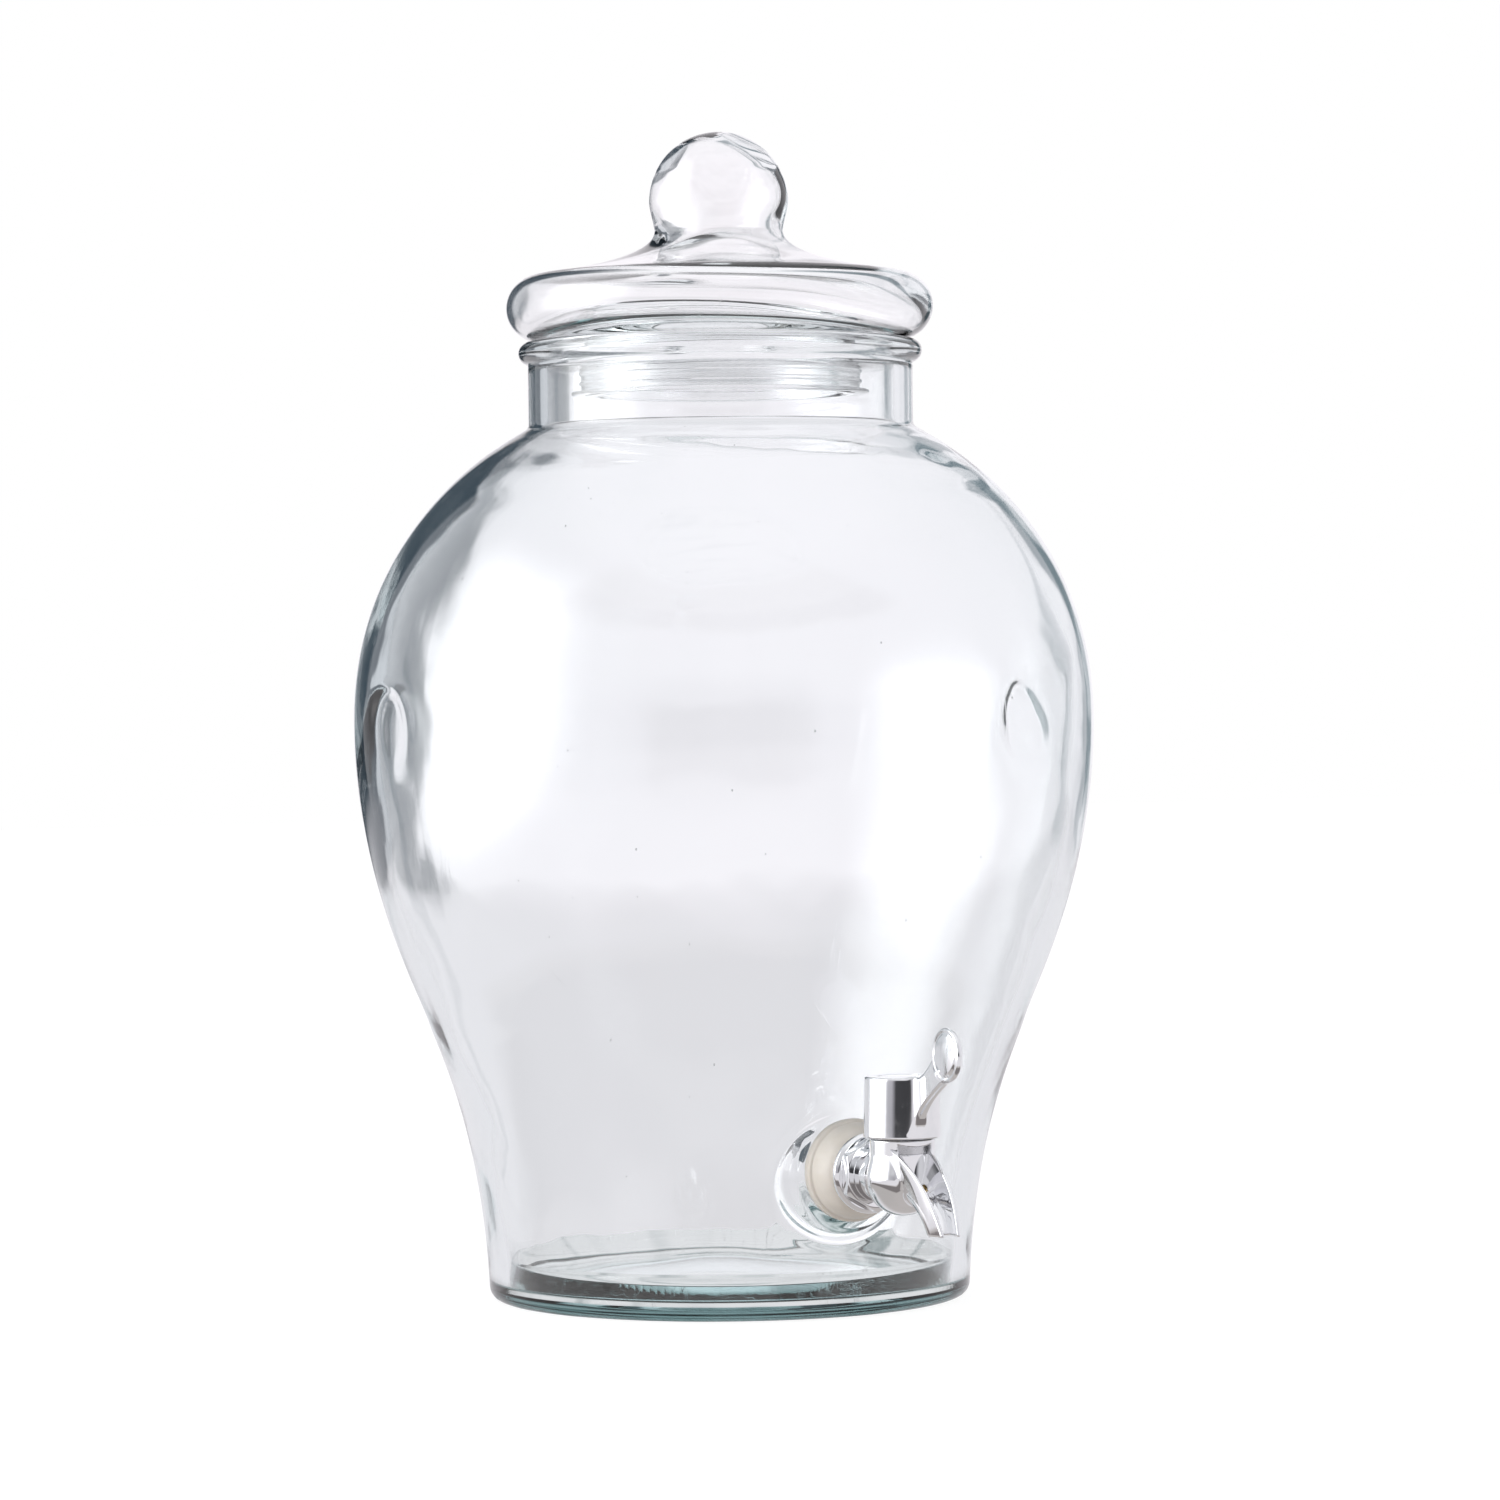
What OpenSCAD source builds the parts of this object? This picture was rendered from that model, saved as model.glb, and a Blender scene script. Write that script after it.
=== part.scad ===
// Beverage dispenser: a glass jar with a lift-off glass lid and a quarter-turn lever tap.
// Millimetres, +Z up. The origin is on the jar's axis, in the plane it stands on.
// The tap points along -Y, the finger grips face +X and -X.

/* [Jar outline] */
// Radius of the foot, just above its rounded edge
foot_radius = 91.3; // [70:0.1:120]
// Radius of the foot's rounded edge
foot_edge = 5; // [2:0.5:10]
// How far the foot's wall leans outward, degrees
foot_lean = 2.5; // [0:0.5:10]
// Length of the foot's Bezier handle
foot_pull = 58.6; // [20:0.1:80]
// Radius where the wall turns from foot curve to belly curve
waist_radius = 113; // [90:0.1:130]
// Height of that point
waist_height = 104.7; // [60:0.1:150]
// Slope of the wall at that point, degrees above level
waist_slope = 73.1; // [45:0.1:89]
// Length of the Bezier handles below and above the waist
waist_pull = [10, 12.9]; // [2:0.1:30]
// Largest radius of the belly
belly_radius = 140.3; // [120:0.1:180]
// Height of the largest radius
belly_height = 219; // [150:0.5:280]
// Length of the Bezier handles below and above the belly
belly_pull = [60.3, 51.7]; // [20:0.1:90]
// Radius where the shoulder ends
shoulder_radius = 80; // [70:0.1:100]
// Height where the shoulder ends
shoulder_height = 325.8; // [280:0.1:360]
// Slope of the shoulder where it ends, degrees below level
shoulder_slope = 30.6; // [0:0.1:60]
// Length of the shoulder's Bezier handle
shoulder_pull = 37.3; // [10:0.1:70]

/* [Jar neck] */
// Outer radius of the neck
neck_radius = 73; // [60:0.1:90]
// Radius of the hollow that joins shoulder and neck
neck_fillet = 3; // [1:0.5:10]
// Radius of the rim's bead
bead_radius = 76.6; // [62:0.1:95]
// Height of the bead
bead_height = 8.4; // [4:0.1:15]
// Height of the rim's top
rim_height = 362.6; // [300:0.1:400]
// Thickness of the neck's glass
neck_wall = 7; // [4:0.1:10]

/* [Jar glass] */
// Thickness of the glass in the shoulder, belly and foot
glass_wall = 7.5; // [4:0.1:12]
// Thickness of the floor at its edge
floor_thickness = 10; // [5:0.5:20]
// Radius of the rounded corner inside the foot
floor_corner = 9; // [4:0.5:20]
// How far the floor is pushed up in the middle
punt_rise = 4; // [0:0.5:15]
// Width of the flat ring that the jar stands on
foot_ring = 13; // [5:0.5:30]

/* [Finger grips] */
// Distance from the jar's axis to the grip's flat panel
grip_panel = 136.8; // [125:0.1:145]
// Width of the grip
grip_width = 35; // [20:0.5:60]
// Height of the top of the grip's arch
grip_top = 232; // [180:0.5:260]
// Height where the grip has faded out
grip_bottom = 160; // [120:0.5:200]

/* [Tap seat] */
// Height of the tap's shank
tap_height = 55.5; // [35:0.1:90]
// Distance from the jar's axis to the flat outer seat
seat_distance = 100.5; // [90:0.1:110]
// Radius of the raised boss round the outer seat
boss_radius = 24.5; // [15:0.1:35]
// Radius of the boss's rounded edge
boss_edge = 2.5; // [0.5:0.1:4]
// Radius of the flat outer seat
seat_radius = 21; // [15:0.1:30]
// Thickness of the glass between outer and inner seat
seat_wall = 8; // [5:0.5:12]
// Radius of the flat inner seat
inner_seat_radius = 16; // [12:0.1:30]
// Radius of the hole through the glass
hole_radius = 8.6; // [6:0.1:12]

/* [Lid] */
// Largest radius of the lid
lid_radius = 81; // [70:0.1:100]
// Height of the lid's half-round rim
lid_rim = 25; // [15:0.5:35]
// Gap that keeps the lid's solid off the jar's rim
lid_gap = 0.3; // [0.1:0.1:1]
// Narrowest radius of the knob's neck
knob_waist = 24.5; // [15:0.1:35]
// Height of the narrowest place above the lid's underside
waist_rise = 41.4; // [30:0.1:60]
// Largest radius of the knob
knob_radius = 26.4; // [15:0.1:40]
// Height of the knob's largest radius above the lid's underside
knob_height = 52.6; // [40:0.1:70]
// Thickness of the lid's glass
lid_wall = 4.6; // [3:0.1:8]
// Outer radius of the plug below the lid
plug_radius = 51.4; // [35:0.1:62]
// Length of the plug below the lid
plug_length = 21; // [10:0.5:35]

/* [Lid seal] */
// Radius of the seal's ribs, upper ones and lowest one
rib_radius = [53.6, 56.4]; // [50:0.1:62]
// Height of one rib
rib_height = 1.6; // [1:0.1:3]
// Number of ribs
rib_count = 4; // [2:1:8]
// Outer radius of the thin sealing fin
fin_radius = 65.4; // [58:0.1:70]
// Thickness of the fin
fin_thickness = 1.2; // [0.8:0.1:3]

/* [Tap fixings] */
// Radius of the threaded shank
shank_radius = 8; // [5:0.1:10]
// Pitch of the shank's thread
thread_pitch = 1.5; // [1:0.25:2.5]
// Radius of the outer gasket
gasket_radius = 18.8; // [12:0.1:25]
// Thickness of the outer gasket at its edge and in the middle
gasket_height = [4.3, 13.7]; // [2:0.1:20]
// Radius and thickness of the chrome washer
washer_size = [14.7, 3.6]; // [2:0.1:20]
// Width across the flats and thickness of the outer nut
outer_nut_size = [24.4, 5]; // [3:0.1:30]
// Radius and thickness of the inner gasket
inner_gasket_size = [13.6, 4]; // [2:0.1:25]
// Radius and thickness of the inner washer
inner_washer_size = [12.4, 1.5]; // [0.5:0.1:20]
// Width across the flats and thickness of the inner nut
inner_nut_size = [21.5, 7]; // [3:0.1:30]
// How far the shank sticks out of the inner nut
shank_tail = 3; // [0:0.5:10]

/* [Tap body] */
// Distance from the outer seat to the axis that the lever turns about
valve_reach = 40.7; // [30:0.1:60]
// Radius of the ball
ball_radius = 13.3; // [10:0.1:20]
// Radius of the collar between nut and ball
collar_radius = 10; // [8:0.1:14]
// Radius of the valve neck
valve_radius = 11.7; // [9:0.1:16]
// Height of the valve neck's top above the shank
valve_top = 14.3; // [10:0.1:25]
// Radius of the water way through the shank
inlet_radius = 4.5; // [2:0.1:6]

/* [Spout] */
// Length of the spout forward of the lever's axis, at its lip
spout_reach = 36.5; // [25:0.1:60]
// Depth of the spout's mouth below the shank
spout_drop = 18; // [8:0.1:30]
// Thickness of the spout's wall
spout_wall = 1.5; // [1:0.1:3]

/* [Valve] */
// Radius of the valve core
core_radius = 7.6; // [5:0.1:10]
// Running clearance of the core in its bore
core_clearance = 0.06; // [0.02:0.01:0.1]
// Radius of the core's cross bore
port_radius = 3.6; // [2:0.1:6]
// Radius of the bore from the valve into the spout
outlet_radius = 2.6; // [1.5:0.1:4]
// Slope of that bore below level, degrees
outlet_slope = 18; // [0:1:30]
// Radius of the core's stem
core_stem = 4.5; // [3:0.1:7]
// Width across the flats at the top of the stem
stem_flats = 7; // [4:0.1:9]

/* [Handle] */
// Radius of the barrel at its bottom and its top
barrel_radius = [13.9, 13.2]; // [8:0.1:20]
// Height of the barrel
barrel_height = 22; // [15:0.1:35]
// Thickness of the glide washer under the barrel
glide_gap = 0.5; // [0.3:0.1:1.5]
// Radius of the thumb disc
thumb_radius = 9.7; // [6:0.1:15]
// Thickness of the thumb disc
thumb_thickness = 5; // [3:0.1:8]
// Distance of the thumb disc's centre forward of the lever's axis
thumb_reach = 35.9; // [25:0.1:50]
// Height of the thumb disc's centre above the barrel's bottom
thumb_height = 31.4; // [20:0.1:45]
// Thickness of the lever arm
arm_thickness = 4; // [3:0.1:8]
// Angle that the lever turns from closed to open, degrees
lever_travel = 90; // [45:1:90]

/* [Hidden] */

// Glass, chrome, silicone and the hidden pieces
GLASS = [0.80, 0.88, 0.87, 0.45];
CHROME = "silver";
SILICONE = [0.93, 0.90, 0.84];
CLEAR_PLASTIC = [0.92, 0.94, 0.95, 0.6];
BLACK_RUBBER = [0.08, 0.08, 0.08];
BRASS = [0.78, 0.66, 0.36];
STEEL = [0.66, 0.67, 0.69];

$fn = 96;
eps = 0.01;
CURVE_STEPS = 16;
ARC_STEPS = 8;

// Points of a cubic Bezier curve, without its first point
function bezier(p, n = CURVE_STEPS) = [
    for (i = [1:n]) let (t = i / n, u = 1 - t)
        u * u * u * p[0] + 3 * u * u * t * p[1] + 3 * u * t * t * p[2] + t * t * t * p[3]
];

// Points of an arc from angle a to angle b
function arc(c, r, a, b, n = ARC_STEPS) = [
    for (i = [0:n]) let (w = a + (b - a) * i / n) c + r * [cos(w), sin(w)]
];

function unit(v) = v / norm(v);
function polar(r, a) = r * [cos(a), sin(a)];
function mix(a, b, t) = a + (b - a) * t;
function reversed(p) = [for (i = [len(p) - 1:-1:0]) p[i]];

// A line moved to its left, by a distance that changes evenly along it
function inset(p, start, end) = [
    for (i = [0:len(p) - 1]) let (
        last = len(p) - 1,
        d = unit(p[min(i + 1, last)] - p[max(i - 1, 0)])
    ) p[i] + mix(start, end, i / last) * [-d[1], d[0]]
];

// Outer wall of the jar, from the foot's rounded edge to the end of the shoulder
foot = [foot_radius, foot_edge];
waist = [waist_radius, waist_height];
belly = [belly_radius, belly_height];
shoulder = [shoulder_radius, shoulder_height];
wall_line = concat(
    [foot],
    bezier([
        foot, foot + polar(foot_pull, 90 - foot_lean),
        waist - polar(waist_pull[0], waist_slope), waist
    ]),
    bezier([
        waist, waist + polar(waist_pull[1], waist_slope),
        belly - [0, belly_pull[0]], belly
    ]),
    bezier([
        belly, belly + [0, belly_pull[1]],
        shoulder + polar(shoulder_pull, -shoulder_slope), shoulder
    ])
);
inner_line = inset(wall_line, glass_wall, neck_wall);

// The hollow between shoulder and neck
neck_corner = shoulder_height + (shoulder_radius - neck_radius) * tan(shoulder_slope);
fillet_turn = 90 - shoulder_slope;
fillet_centre = [
    neck_radius + neck_fillet, neck_corner + neck_fillet * tan(fillet_turn / 2)
];
function neck_arc(r) = arc(fillet_centre, r, 180 + fillet_turn, 180);

// The rim: a round bead outside, a rounded edge inside
bead_half = bead_height / 2;
bead_centre = [bead_radius - bead_half, rim_height - bead_half];
bead_start = -acos((neck_radius - bead_centre[0]) / bead_half);
mouth_radius = neck_radius - neck_wall;
lip_edge = 3;

// The floor and the punt below it
floor_radius = foot_radius - glass_wall - floor_corner;
punt_radius = foot_radius - foot_edge - foot_ring;
function pushed_up(radius, level) = [
    for (i = [0:CURVE_STEPS]) let (s = i / CURVE_STEPS)
        [radius * s, level + punt_rise * (1 + cos(180 * s)) / 2]
];

// The lid's outline starts at the foot of its plug
lid_base = rim_height + lid_gap;
rim_half = lid_rim / 2;
rim_centre = [lid_radius - rim_half, rim_half];
knob_centre = [0, knob_height];
plug_fillet = 3;
dome_pull = [20.5, 3, 8.4];
knob_pull = 4;
lid_outline = concat(
    [[plug_radius, -plug_length]],
    arc([plug_radius + plug_fillet, -plug_fillet], plug_fillet, 180, 90),
    arc(rim_centre, rim_half, -90, 90, 2 * ARC_STEPS),
    bezier([
        rim_centre + [0, rim_half],
        rim_centre + [-dome_pull[0], rim_half + dome_pull[1]],
        [knob_waist, waist_rise - dome_pull[2]],
        [knob_waist, waist_rise]
    ]),
    bezier([
        [knob_waist, waist_rise], [knob_waist, waist_rise + knob_pull],
        [knob_radius, knob_height - knob_pull], [knob_radius, knob_height]
    ], ARC_STEPS)
);

// Levels of the tap fixings in front of the outer seat, negative inside the jar
washer_back = gasket_height[1];
nut_back = washer_back + washer_size[1];
collar_back = nut_back + outer_nut_size[1];
inner_washer_face = -seat_wall - inner_gasket_size[1];
inner_nut_face = inner_washer_face - inner_washer_size[1];
shank_end = inner_nut_face - inner_nut_size[1] - shank_tail;
thread_depth = 0.7;
bolt_gap = 0.1;
nut_chamfer = 1.2;

// Valve levels above the shank's axis
core_half = 8.6;
core_bore = core_radius + core_clearance;
bore_floor = -core_half - 0.4;
groove_width = 2;
groove_depth = 1.5;
ring_level = 6.4;
gland_height = 5;
gland_radius = 9.5;
gland_gap = 0.1;
gland_seat = gland_radius + gland_gap;
stem_ring_level = valve_top - gland_height / 2;
stem_groove_depth = 1;
seal_radius = 6;
seal_length = 2.4;
seal_gap = 0.3;

// Lid seal sleeve
sleeve_wall = 1.4;
sleeve_height = 13;
fin_level = 9.6;

// Edges of washer, gasket and thumb disc
washer_edge = 1.2;
gasket_edge = 1;
gasket_top = 13.6;
gasket_dome = [[17.5, 8.3], [16, 12.2]];
thumb_edge = 1.5;

// The spout bends round its heel, below it, and its rim follows the brow, a wider arc.
// It narrows along a line that points forward and down by its pitch
channel_back = core_bore + 2;
lip_clear = 3;
spout_width = 20;
spout_round = 6;
spout_flare = [13, 2.6];
heel = [7.65, -29.5];
heel_radius = 21;
brow = [-8.3, -35.3];
brow_radius = 48;
spout_pitch = 38;
taper_from = -14;
taper_to = 40;
taper_half = [8.6, 3.9];
taper_power = 1.5;
function taper_width(t) = mix(taper_half[0], taper_half[1], pow(t, taper_power));

// Handle levels above the barrel's bottom
barrel_edge = 0.8;
stop_depth = 3;
stop_radii = [6.4, 9.2];
stop_width = 20;
stop_margin = 0.6;
stop_slack = 0.3;
socket_top = 13;
web_top = 16;
cap_radius = 8.4;
cap_depth = 1.7;
well_radius = 7.6;
screw_radius = 1.95;
screw_length = 10;
screw_head = [3.6, 2.3];
screw_washer_size = [4.3, 0.8];
handle_level = valve_top + glide_gap;
stem_top = handle_level + socket_top - 0.2;
washer_level = handle_level + web_top;
screw_seat = washer_level + screw_washer_size[1];
cap_level = handle_level + barrel_height - cap_depth;
cap_edge = 0.3;
screw_slot = 0.9;
socket_gap = 0.05;
glide_play = 0.05;
stop_angle = 135;
arm_foot = 3.8;
arm_bite = 1.4;
arm_lap = 0.8;
arm_under = [[17, 12], [26, 17]];
arm_over = [[22.5, 26], [18, barrel_height]];

// Frames: on the shank with its axis forward, and on the axis the lever turns about
module on_shank() translate([0, -seat_distance, tap_height]) rotate([90, 0, 0]) children();
module on_valve() translate([0, -seat_distance - valve_reach, tap_height]) children();

module ring(outer, inner, from, to) translate([0, 0, from]) difference() {
    cylinder(r = outer, h = to - from);
    translate([0, 0, -eps]) cylinder(r = inner, h = to - from + 2 * eps);
}

module rod(r, from, to) translate([0, 0, from]) cylinder(r = r, h = to - from);

module o_ring(centre_radius, thickness, level)
    translate([0, 0, level]) rotate_extrude()
        translate([centre_radius, 0]) circle(r = thickness / 2, $fn = 24);

// Hexagon nut, chamfered at both faces, with flats facing +X and -X
module hex_nut(flats, height, bore) {
    corner = flats / sqrt(3);
    difference() {
        intersection() {
            rotate([0, 0, 30]) cylinder(r = corner, h = height, $fn = 6);
            rotate_extrude() polygon([
                [0, 0], [flats / 2, 0], [corner, nut_chamfer],
                [corner, height - nut_chamfer], [flats / 2, height], [0, height]
            ]);
        }
        translate([0, 0, -eps]) cylinder(r = bore, h = height + 2 * eps);
    }
}

// U-shaped trough, bent forward and down. The wall insets its floor and sides, and the
// lift raises its open top
module trough(wall, lift, drop) intersection() {
    translate([0, -heel[0], heel[1]]) rotate([0, 90, 0]) rotate_extrude() {
        translate([heel_radius + spout_round, 0]) circle(r = spout_round - wall);
        polygon([for (end = [0, 1], side = [-1, 1]) let (flip = end == 0 ? side : -side) [
            heel_radius + spout_round + end * spout_flare[0],
            flip * (spout_round - wall + end * spout_flare[1])
        ]]);
    }
    translate([-spout_width / 2, -brow[0], brow[1]]) rotate([0, 90, 0])
        cylinder(r = brow_radius + lift, h = spout_width);
    rotate([spout_pitch, 0, 0]) translate([0, 0, -spout_reach]) linear_extrude(2 * spout_reach)
        polygon([for (side = [1, -1], t = [0:1 / ARC_STEPS:1]) let (
            place = side > 0 ? t : 1 - t
        ) [side * (taper_width(place) - wall), -mix(taper_from, taper_to, place)]]);
    translate([-spout_width / 2, -2 * spout_reach, -drop])
        cube([spout_width, 2 * spout_reach, 2 * spout_drop]);
}

module jar_section() polygon(concat(
    pushed_up(punt_radius, 0),
    arc([foot_radius - foot_edge, foot_edge], foot_edge, -90, 0),
    wall_line,
    neck_arc(neck_fillet),
    arc(bead_centre, bead_half, bead_start, 90),
    arc([mouth_radius + lip_edge, rim_height - lip_edge], lip_edge, 90, 180),
    reversed(neck_arc(neck_fillet + neck_wall)),
    reversed(inner_line),
    reversed(arc([floor_radius, floor_thickness + floor_corner], floor_corner, -90, 0)),
    reversed(pushed_up(floor_radius, floor_thickness))
));

module boss() rotate_extrude() polygon(concat(
    [[0, -seat_wall], [boss_radius, -seat_wall]],
    arc([boss_radius - boss_edge, -boss_edge], boss_edge, 0, 90),
    [[0, 0]]
));

// Arched pocket for the fingers on one side of the belly
module grip() rotate([90, 0, 90]) translate([0, 0, grip_panel])
    linear_extrude(belly_radius) union() {
        translate([0, grip_top - grip_width / 2]) circle(d = grip_width);
        translate([-grip_width / 2, grip_bottom])
            square([grip_width, grip_top - grip_width / 2 - grip_bottom]);
    }

module jar() color(GLASS) difference() {
    union() {
        rotate_extrude() jar_section();
        on_shank() boss();
    }
    on_shank() {
        rod(seat_radius, 0, boss_radius);
        rod(inner_seat_radius, -boss_radius - seat_wall, -seat_wall);
        rod(hole_radius, -2 * seat_wall, seat_wall);
    }
    for (turn = [0, 180]) rotate([0, 0, turn]) grip();
}

module lid() color(GLASS) translate([0, 0, lid_base]) rotate_extrude() polygon(concat(
    lid_outline,
    arc(knob_centre, knob_radius, 0, 90, CURVE_STEPS),
    arc(knob_centre, knob_radius - lid_wall, 90, 0, CURVE_STEPS),
    reversed(inset(lid_outline, lid_wall, lid_wall))
));

// Ribbed sleeve on the plug, with a thin fin that closes the gap to the neck
module lid_seal() color(CLEAR_PLASTIC) translate([0, 0, lid_base - plug_length]) {
    ring(plug_radius + sleeve_wall, plug_radius, 0, sleeve_height);
    for (i = [0:rib_count - 1]) let (
        level = i * (sleeve_height - rib_height) / (rib_count - 1),
        radius = i == 0 ? rib_radius[1] : rib_radius[0]
    ) ring(radius, plug_radius, level, level + rib_height);
    ring(fin_radius, plug_radius, fin_level, fin_level + fin_thickness);
}

// Thread drawn as a row of grooves
module shank(from, to) {
    turns = floor((to - from) / thread_pitch);
    translate([0, 0, from]) rotate_extrude() polygon(concat(
        [[0, 0]],
        [for (i = [0:turns - 1]) each [
            [shank_radius - thread_depth, i * thread_pitch],
            [shank_radius, (i + 0.5) * thread_pitch]
        ]],
        [[shank_radius - thread_depth, turns * thread_pitch],
         [shank_radius - thread_depth, to - from], [0, to - from]]
    ));
}

module tap_body() color(CHROME) difference() {
    union() {
        on_shank() {
            shank(shank_end, collar_back);
            rod(collar_radius, collar_back, valve_reach);
        }
        on_valve() {
            sphere(r = ball_radius);
            rod(valve_radius, 0, valve_top);
            trough(0, 0, spout_drop);
        }
    }
    on_shank() {
        rod(inlet_radius, shank_end - eps, valve_reach);
        rod(seal_radius, valve_reach - core_bore - seal_length, valve_reach);
    }
    on_valve() {
        rod(core_bore, bore_floor, valve_top + eps);
        rod(gland_seat, valve_top - gland_height, valve_top + eps);
        rotate([90 + outlet_slope, 0, 0]) rod(outlet_radius, 0, channel_back + 2);
        difference() {
            trough(spout_wall, lip_clear, spout_drop + lip_clear);
            rod(channel_back, -2 * spout_drop, valve_top);
        }
    }
}

module outer_washer() color(CHROME) on_shank() translate([0, 0, washer_back])
    rotate_extrude() polygon([
        [shank_radius + bolt_gap, 0], [washer_size[0] - washer_edge, 0],
        [washer_size[0], washer_edge], [washer_size[0], 2 * washer_edge],
        [washer_size[0] - washer_edge, washer_size[1]],
        [shank_radius + bolt_gap, washer_size[1]]
    ]);

module outer_nut() color(CHROME) on_shank() translate([0, 0, nut_back])
    hex_nut(outer_nut_size[0], outer_nut_size[1], shank_radius + bolt_gap);

// Flat at the glass, domed up to the chrome washer
module outer_gasket() color(SILICONE) on_shank() rotate_extrude() polygon(concat(
    [[shank_radius + bolt_gap, 0], [gasket_radius, 0]],
    arc([gasket_radius - gasket_edge, gasket_height[0] - gasket_edge], gasket_edge, 0, 90),
    bezier([
        [gasket_radius - gasket_edge, gasket_height[0]],
        gasket_dome[0], gasket_dome[1], [gasket_top, gasket_height[1]]
    ], ARC_STEPS),
    [[shank_radius + bolt_gap, gasket_height[1]]]
));

module inner_gasket() color(SILICONE) on_shank() ring(
    inner_gasket_size[0], shank_radius + bolt_gap, inner_washer_face, -seat_wall
);

module inner_washer() color(STEEL) on_shank() ring(
    inner_washer_size[0], shank_radius + bolt_gap, inner_nut_face, inner_washer_face
);

module inner_nut() color(STEEL) on_shank()
    translate([0, 0, inner_nut_face - inner_nut_size[1]])
        hex_nut(inner_nut_size[0], inner_nut_size[1], shank_radius + bolt_gap);

module groove(radius, depth, level)
    ring(radius + 1, radius - depth, level - groove_width / 2, level + groove_width / 2);

// Closed at rest: its cross bore lies along X and the shank's bore along Y
module valve_core() color(BRASS) on_valve() difference() {
    union() {
        rod(core_radius, -core_half, core_half);
        rod(core_stem, core_half - eps, handle_level + stop_depth);
        intersection() {
            rod(core_stem, handle_level + stop_depth - eps, stem_top);
            translate([-stem_flats / 2, -stem_flats / 2, 0])
                cube([stem_flats, stem_flats, stem_top]);
        }
    }
    translate([-core_bore, 0, 0]) rotate([0, 90, 0]) rod(port_radius, 0, 2 * core_bore);
    for (level = [-ring_level, ring_level]) groove(core_radius, groove_depth, level);
    groove(core_stem, stem_groove_depth, stem_ring_level);
    rod(screw_radius, stem_top - screw_length, stem_top + eps);
}

module core_ring(level) color(BLACK_RUBBER) on_valve()
    o_ring(core_radius - groove_depth / 2, groove_depth, level);

module core_ring_upper() core_ring(ring_level);
module core_ring_lower() core_ring(-ring_level);

module stem_ring() color(BLACK_RUBBER) on_valve()
    o_ring(core_stem - stem_groove_depth / 2, stem_groove_depth, stem_ring_level);

// Hollowed at the front to stay clear of the turning core
module inlet_seal() color("white") difference() {
    on_shank() ring(
        seal_radius, inlet_radius,
        valve_reach - core_bore - seal_length, valve_reach - core_bore + seal_length
    );
    on_valve() rod(core_bore + seal_gap, -core_half, core_half);
}

// Closes the valve round the stem; its lug stops the lever at both ends
module gland_ring() color(STEEL) on_valve() {
    ring(gland_radius, core_stem + core_clearance, valve_top - gland_height, valve_top);
    rotate([0, 0, stop_angle - stop_width / 2]) rotate_extrude(angle = stop_width)
        translate([stop_radii[0], valve_top - eps])
            square([stop_radii[1] - stop_radii[0], glide_gap + stop_depth - stop_slack]);
}

module glide_washer() color(BLACK_RUBBER) on_valve() ring(
    valve_radius - stop_slack, gland_seat + stop_slack, valve_top,
    handle_level - glide_play
);

// Side view of the lever arm: its foot, its underside, the disc and its top
arm_start = [barrel_radius[0] - arm_bite, arm_foot];
arm_tip = [thumb_reach + arm_bite, thumb_height - thumb_radius + arm_bite];
disc_back = [thumb_reach - thumb_radius + arm_lap, thumb_height];
arm_end = [barrel_radius[1] - 2 * arm_bite, barrel_height - barrel_edge];
arm_outline = concat(
    [[0, arm_foot], arm_start],
    bezier([arm_start, arm_under[0], arm_under[1], arm_tip]),
    [[thumb_reach, thumb_height], disc_back],
    bezier([disc_back, arm_over[0], arm_over[1], arm_end]),
    [[0, barrel_height - barrel_edge]]
);

// Flat towards -X, domed towards +X
module thumb_disc() translate([0, -thumb_reach, thumb_height]) rotate([0, 90, 0])
    rotate_extrude() polygon(concat(
        [[0, -thumb_thickness / 2]],
        arc([thumb_radius - thumb_edge, thumb_edge - thumb_thickness / 2], thumb_edge, -90, 0),
        bezier([
            [thumb_radius, thumb_edge - thumb_thickness / 2],
            [thumb_radius, thumb_thickness / 4],
            [thumb_radius / 2, thumb_thickness / 2], [0, thumb_thickness / 2]
        ])
    ));

module barrel() rotate_extrude() polygon(concat(
    [[0, 0]],
    arc([barrel_radius[0] - barrel_edge, barrel_edge], barrel_edge, -90, 0, 4),
    arc([barrel_radius[1] - barrel_edge, barrel_height - barrel_edge], barrel_edge, 0, 90, 4),
    [[0, barrel_height]]
));

module handle() color(CHROME) on_valve() translate([0, 0, handle_level]) difference() {
    union() {
        barrel();
        difference() {
            translate([arm_thickness / 2, 0, 0]) rotate([90, 0, -90])
                linear_extrude(arm_thickness) polygon(arm_outline);
            rod(barrel_radius[1] - 1, -eps, barrel_height);
        }
        thumb_disc();
    }
    rod(core_stem + stop_slack, -eps, stop_depth);
    rotate([0, 0, stop_angle - lever_travel - stop_width / 2 - stop_margin])
        rotate_extrude(angle = lever_travel + stop_width + 2 * stop_margin)
            translate([stop_radii[0] - stop_slack, -eps])
                square([stop_radii[1] - stop_radii[0] + 2 * stop_slack, stop_depth + eps]);
    intersection() {
        rod(core_stem + socket_gap, stop_depth - eps, socket_top);
        translate([-stem_flats / 2 - socket_gap, -stem_flats / 2 - socket_gap, 0])
            cube([stem_flats + 2 * socket_gap, stem_flats + 2 * socket_gap, socket_top]);
    }
    rod(screw_radius + stop_slack, socket_top - eps, web_top + eps);
    rod(well_radius, web_top, barrel_height + eps);
    rod(cap_radius + bolt_gap, barrel_height - cap_depth, barrel_height + eps);
}

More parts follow.
